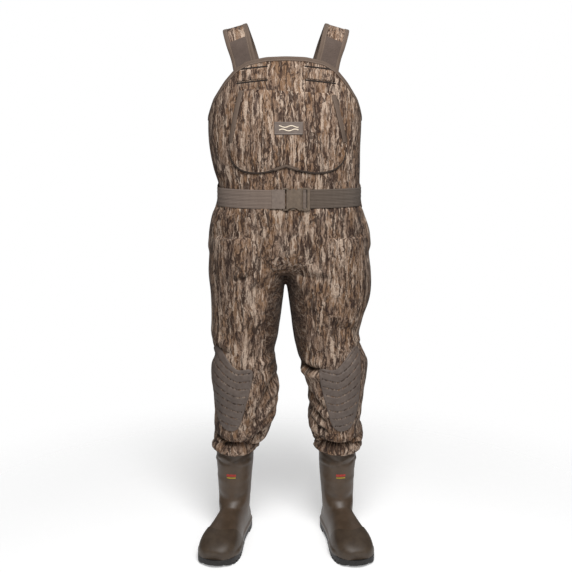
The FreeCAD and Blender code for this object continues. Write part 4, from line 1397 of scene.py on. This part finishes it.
def knee_pads(surface):
    step = 0.0014
    for name, side in SIDES:
        outline = smooth_outline(PAD_OUTLINE)
        us, vs = np.arange(0.086, 0.216, step), np.arange(0.340, 0.604, step)
        x, z = np.meshgrid(us, vs)
        depth = inside_outline(x.ravel(), z.ravel(), outline)
        keep = depth > -step
        index = np.full(x.size, -1)
        spots, normals = np.zeros((x.size, 3)), np.zeros((x.size, 3))
        for i in np.nonzero(keep)[0]:
            start = Vector((side * x.flat[i], -0.4, z.flat[i]))
            hit, normal, _, _ = surface.ray_cast(start, Vector((0, 1, 0)))
            if hit is not None and hit.y < BODY_Y + 0.02:
                spots[i], normals[i], index[i] = hit, normal, 0
        found = index >= 0
        grid = np.arange(x.size).reshape(x.shape)
        cells = np.stack([grid[:-1, :-1], grid[:-1, 1:], grid[1:, 1:], grid[1:, :-1]], -1).reshape(-1, 4)
        good = found[cells].all(1) & (depth[cells].max(1) > 0)
        reach = np.ptp(np.where(found, spots[:, 1], 0)[cells], axis=1)
        cells = cells[good & (reach < 0.012)]
        if side < 0:
            cells = cells[:, ::-1]
        used, local = np.unique(cells.ravel(), return_inverse=True)
        local = local.reshape(-1, 4)
        p, n = spots[used], soften(normals[used], local, 12)
        p = soften(p, local, 4)
        groove, level = pad_groove(x.flat[used], z.flat[used], name)
        d = depth[used]
        rim = np.sqrt(np.clip(1 - (1 - np.clip(d / 0.0035, 0, 1)) ** 2, 0, 1))
        inside = smoothstep(0.004, 0.009, d)
        height = 0.0006 + 0.0026 * rim - 0.0019 * groove * inside
        phase, across = noise_row(level), x.flat[used]
        dash = np.sin(across * 2 * math.pi / PAD_DASH + phase) > -0.35
        dash |= np.sin(across * 611 + 2 * phase) > 0.86  # a few short dots between the dashes
        outer = p + n * height[:, None]
        local, shown = facing(outer, local, n)
        pad = shell_piece("knee_guard_" + name, outer, p - n * 0.0008, shown, local, p, [PAD, PAD])
        gap = pad.data.attributes.new("gap", "FLOAT", "POINT")
        gap.data.foreach_set("value", np.tile(groove * inside * dash, 2).astype(np.float32))
        finish_piece(pad, "knee_rubber", "knee_pad_" + name)
        bend_knee(pad)


def noise_row(level):
    """A different angle for each chevron line."""
    row = np.round((level - PAD_LOW) / PAD_PITCH)
    return (np.sin(row * 12.9898) * 43758.5453) % 1 * 2 * math.pi


def soften(values, faces, times):
    """Evens out values between neighbouring points."""
    pairs = np.vstack([faces[:, [0, 1]], faces[:, [1, 2]], faces[:, [2, 3]], faces[:, [3, 0]]])
    count = np.zeros(len(values))
    np.add.at(count, pairs[:, 0], 1)
    np.add.at(count, pairs[:, 1], 1)
    for _ in range(times):
        total = np.zeros_like(values)
        np.add.at(total, pairs[:, 0], values[pairs[:, 1]])
        np.add.at(total, pairs[:, 1], values[pairs[:, 0]])
        values = 0.4 * values + 0.6 * total / count[:, None]
    return values


# ---- boots ----
ANKLE_X, ANKLE_Y, TOE_OUT = 0.153, BODY_Y + 0.022, math.radians(12)
SOLE = 0.013  # the rubber comes down over the side of the sole
# The foot along its own length, from the ankle axis: forward, half width, top.
FOOT = [(-0.070, 0.024, 0.058), (-0.060, 0.034, 0.084), (-0.030, 0.040, 0.108), (0.025, 0.042, 0.116),
        (0.070, 0.045, 0.102), (0.120, 0.052, 0.088), (0.165, 0.057, 0.079), (0.203, 0.052, 0.068),
        (0.222, 0.042, 0.056), (0.233, 0.027, 0.044)]
# The boot shaft: height, half width, forward reach, backward reach.
SHAFT = [(0.300, 0.0560, 0.061, -0.064), (0.240, 0.0545, 0.060, -0.063), (0.185, 0.0500, 0.056, -0.061),
         (0.125, 0.0465, 0.060, -0.059), (0.090, 0.0440, 0.072, -0.060), (0.045, 0.0400, 0.062, -0.061)]
BOOT_TOP = 0.299


def foot_ring(forward, half, top):
    """One cross-section of the foot."""
    angle = 2 * math.pi * np.arange(64) / 64
    c, s = np.cos(angle), np.sin(angle)
    corner = 0.011 if top > 0.05 else 0.4 * (top - SOLE)
    across = half * np.sign(c) * np.abs(c) ** (2 / 2.6)
    over, under = (top - SOLE - corner) * np.abs(s) ** (2 / 2.2), -corner * np.abs(s) ** (2 / 3)
    up = SOLE + corner + np.where(s >= 0, over, under)
    return np.stack([across, np.full(64, -forward), up], -1)


def boot_mesh():
    """One boot in its own frame, toes towards -Y: foot and shaft grown together, with soft wrinkles."""
    at = np.linspace(0, len(FOOT) - 1, 70)
    rows = between([(i, *row) for i, row in enumerate(FOOT)], at)
    foot = tube("form", [foot_ring(*row) for row in rows])
    heights = np.arange(0.318, 0.045, -0.006)
    half, ahead, behind = between(SHAFT, heights).T
    angle = 2 * math.pi * np.arange(72) / 72
    x = half[:, None] * np.cos(angle)
    y = -(ahead + behind)[:, None] / 2 + ((ahead - behind) / 2)[:, None] * np.sin(angle)
    shaft = tube("form", np.stack([x, y, np.broadcast_to(heights[:, None], x.shape)], -1))
    boot = remesh(join([foot, shaft]), 0.004, 6)
    modifier(boot, "SUBSURF", levels=1, render_levels=1)
    apply_all(boot)
    return boot


def boot_shape(co, side):
    """The rubber's own form: shaft wrinkles, ankle crease, and the welt above the sole."""
    z, forward = co[:, 2], -co[:, 1]
    lift = waves(co, 0.06, 61 + side, (1, 1, 0.8)) * 0.0018 * smoothstep(0.10, 0.16, z)
    bend = z - 0.232 - 0.010 * np.sin(3 * co[:, 0] / 0.05) - 0.2 * forward
    lift += 0.0024 * hump(bend, 0.007) * smoothstep(-0.02, 0.03, forward)
    second = z - 0.255 + 0.012 * np.sin(2.2 * co[:, 0] / 0.05 + 1) + 0.15 * forward
    lift -= 0.0020 * hump(second, 0.006)
    third = z - 0.190 + 0.25 * forward
    lift += 0.0013 * hump(third, 0.010) * smoothstep(0.0, 0.03, forward)
    ankle = z - 0.128 + 0.35 * (forward - 0.05)
    lift -= 0.0030 * hump(ankle, 0.011) * smoothstep(0.02, 0.05, forward)
    lift += 0.0022 * hump(ankle + 0.022, 0.012) * smoothstep(0.02, 0.05, forward)
    behind = z - 0.120 - 0.2 * forward
    lift -= 0.0022 * hump(behind, 0.009) * smoothstep(0.0, -0.04, forward)
    lift += 0.0036 * smoothstep(0.036, 0.026, z) * smoothstep(0.215, 0.175, forward)
    return lift


def place_boot(co, side):
    """From the boot's own frame to its place; the toes turn out."""
    c, s = math.cos(TOE_OUT), math.sin(TOE_OUT)
    x = co[:, 0] * c - co[:, 1] * s + ANKLE_X
    y = co[:, 0] * s + co[:, 1] * c + ANKLE_Y
    return np.stack([x * side, y, co[:, 2]], -1)


def boots():
    boot = boot_mesh()
    rest, base_normals = points_of(boot).copy(), normals_of(boot).copy()
    faces = quads_of(boot)
    faces = faces[rest[faces].mean(1)[:, 2] < BOOT_TOP]
    for name, side in SIDES:
        shaped = rest + base_normals * boot_shape(rest, side)[:, None]
        set_points(boot, shaped)
        normals = normals_of(boot).copy()
        toe_line = 0.160 + 0.10 * np.clip(rest[:, 2] - 0.05, 0, 1) - 0.9 * rest[:, 0] ** 2 / 0.06
        shown, shown_faces = place_boot(shaped, side), faces if side > 0 else faces[:, ::-1]
        turned = place_boot(normals, side) - np.array([ANKLE_X * side, ANKLE_Y, 0])
        upper = shell_piece("boot_upper_" + name, shown, shown - turned * 0.004, turned, shown_faces, rest,
                            [RUBBER, RUBBER])
        finish_piece(upper, "boot_rubber", "boot_shaft_" + name, "boot_ankle_" + name, "boot_foot_" + name)
        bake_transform(upper)
        ahead = -rest[:, 1] - toe_line
        chosen = (ahead[faces].min(1) > 0) & (rest[faces].mean(1)[:, 2] > SOLE + 0.003)
        edge = smoothstep(0.0, 0.003, ahead)
        cap = place_boot(shaped + normals * (0.0004 + 0.0014 * edge)[:, None], side)
        under = place_boot(shaped - normals * 0.0006, side)
        toe = shell_piece("toe_cap_" + name, cap, under, turned, shown_faces[chosen], rest,
                          [TOE_RUBBER, TOE_RUBBER])
        finish_piece(toe, "boot_rubber", "toe_rand_" + name)
        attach(toe, "foot_" + name)
        shaft_mark(name, side, shaped, faces)
    bpy.data.objects.remove(boot)


def shaft_mark(name, side, shaped, faces):
    """Two small plain bars moulded on the front of the shaft."""
    tree = BVHTree.FromPolygons(shaped.tolist(), faces.tolist())
    for label, low, high, width, material in (("red", 0.1960, 0.2025, 0.027, RED_MARK),
                                              ("yellow", 0.1905, 0.1930, 0.026, YELLOW_MARK)):
        x, z = np.meshgrid(np.linspace(-width / 2, width / 2, 15) - 0.004, np.linspace(low, high, 5))
        spots = []
        for a, b in zip(x.flat, z.flat):
            hit, normal, _, _ = tree.ray_cast(Vector((a, -0.3, b)), Vector((0, 1, 0)))
            spots.append((*hit, *normal))
        spots = np.array(spots)
        p, n = spots[:, :3], spots[:, 3:]
        cells = np.array(grid_faces(*x.shape))
        outer = place_boot(p + n * 0.0006, side)
        turned = place_boot(n, side) - np.array([ANKLE_X * side, ANKLE_Y, 0])
        cells = cells if side > 0 else cells[:, ::-1]
        bar = shell_piece("shaft_bar_%s_%s" % (label, name), outer, place_boot(p - n * 0.0004, side), turned,
                          cells, outer, [material, material])
        finish_piece(bar, "boot_rubber")
        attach(bar, "shin_" + name)


# ---- pieces kept from CAD ----
def cad_finishes():
    """Gives each piece that is shown as CAD made it a finish of its own."""
    finishes = {"belt_tail": WEB_CAD, "belt_end_fold": WEB_CAD_PALE}
    for part in ("socket", "plug", "prong_upper", "prong_lower"):
        finishes["buckle_" + part] = PLASTIC
    for name, _ in SIDES:
        finishes["outsole_" + name] = SOLE_RUBBER
        finishes["insole_" + name] = FELT
        finishes["boot_lining_" + name] = FELT
        finishes["hook_patch_" + name] = HOOK
    for node, material in finishes.items():
        obj = frame["nodes"][node]
        obj.data.materials.clear()
        obj.data.materials.append(material)
        if material in (PLASTIC, SOLE_RUBBER):
            modifier(obj, "BEVEL", width=0.0006, segments=2, limit_method="ANGLE",
                     angle_limit=math.radians(40))


# ---- stage ----
SKY_LIGHT = 0.20  # how strongly the white surroundings light the object
FLOOR_GLOW, FLOOR_FADE_START, FLOOR_FADE_END = 0.28, 0.45, 1.5
LIGHTS = (  # name, place, size and power
    ("key", (0.15, -1.7, 2.75), 1.1, 66),
    ("fill", (0.6, -2.0, 1.9), 1.2, 17),
    ("back", (0.0, 2.6, 2.8), 1.8, 16),
)
LIGHTS_AIM = (0, 0, 1.15)
CAMERA_PLACE, CAMERA_DOWN, CAMERA_LENS, CAMERA_WIDTH = (0, -2.538, 1.191), 9.55, 57.5, 36


def stage():
    floor = mesh_object("floor", [(-6, -6, 0), (6, -6, 0), (6, 8, 0), (-6, 8, 0)], [(0, 1, 2, 3)])
    n = Nodes("floor_paper")
    where = object_place(n)
    away = n.add("ShaderNodeVectorMath", {0: where}, operation="LENGTH").outputs["Value"]
    fade = n.add("ShaderNodeMapRange", {
        "Value": away, "From Min": FLOOR_FADE_START, "From Max": FLOOR_FADE_END, "To Min": 1.0, "To Max": 0.0,
    }, interpolation_type="SMOOTHSTEP")
    n.set(n.shader.inputs["Alpha"], fade)
    n.shader.inputs["Emission Color"].default_value = (1, 1, 1, 1)
    n.shader.inputs["Emission Strength"].default_value = FLOOR_GLOW
    floor.data.materials.append(n.finish(n.mix(n.noise(where, 0.4), grey(0.88), grey(0.9)), 0.9))
    world = bpy.data.worlds.new("studio")
    world.use_nodes = True
    sky = world.node_tree.nodes["Background"].inputs
    sky["Color"].default_value = (1, 1, 1, 1)
    seen = world.node_tree.nodes.new("ShaderNodeLightPath").outputs["Is Camera Ray"]
    level = world.node_tree.nodes.new("ShaderNodeMapRange")
    level.inputs["To Min"].default_value, level.inputs["To Max"].default_value = SKY_LIGHT, 1.0
    world.node_tree.links.new(seen, level.inputs["Value"])
    world.node_tree.links.new(level.outputs["Result"], sky["Strength"])
    bpy.context.scene.world = world
    for name, place, size, power in LIGHTS:
        light = bpy.data.lights.new(name, "AREA")
        light.size, light.energy = size, power
        lamp = bpy.data.objects.new(name, light)
        lamp.location = place
        lamp.rotation_euler = (Vector(LIGHTS_AIM) - Vector(place)).to_track_quat("-Z", "Y").to_euler()
        bpy.context.scene.collection.objects.link(lamp)
    camera = bpy.data.objects.new("camera", bpy.data.cameras.new("camera"))
    camera.data.lens, camera.data.sensor_width = CAMERA_LENS, CAMERA_WIDTH
    camera.location = CAMERA_PLACE
    camera.rotation_euler = (math.radians(90 - CAMERA_DOWN), 0, 0)
    bpy.context.scene.collection.objects.link(camera)
    bpy.context.scene.camera = camera
    bpy.context.scene.view_settings.view_transform = "Standard"


stage()
panels, top_edge, top_normals = upper_body()
top_binding(top_edge, top_normals)
pocket = chest_pocket()
label_patch()
strap_keepers()
straps()
belt()
trouser_surface = trousers()
knee_pads(trouser_surface)
boots()
cad_finishes()
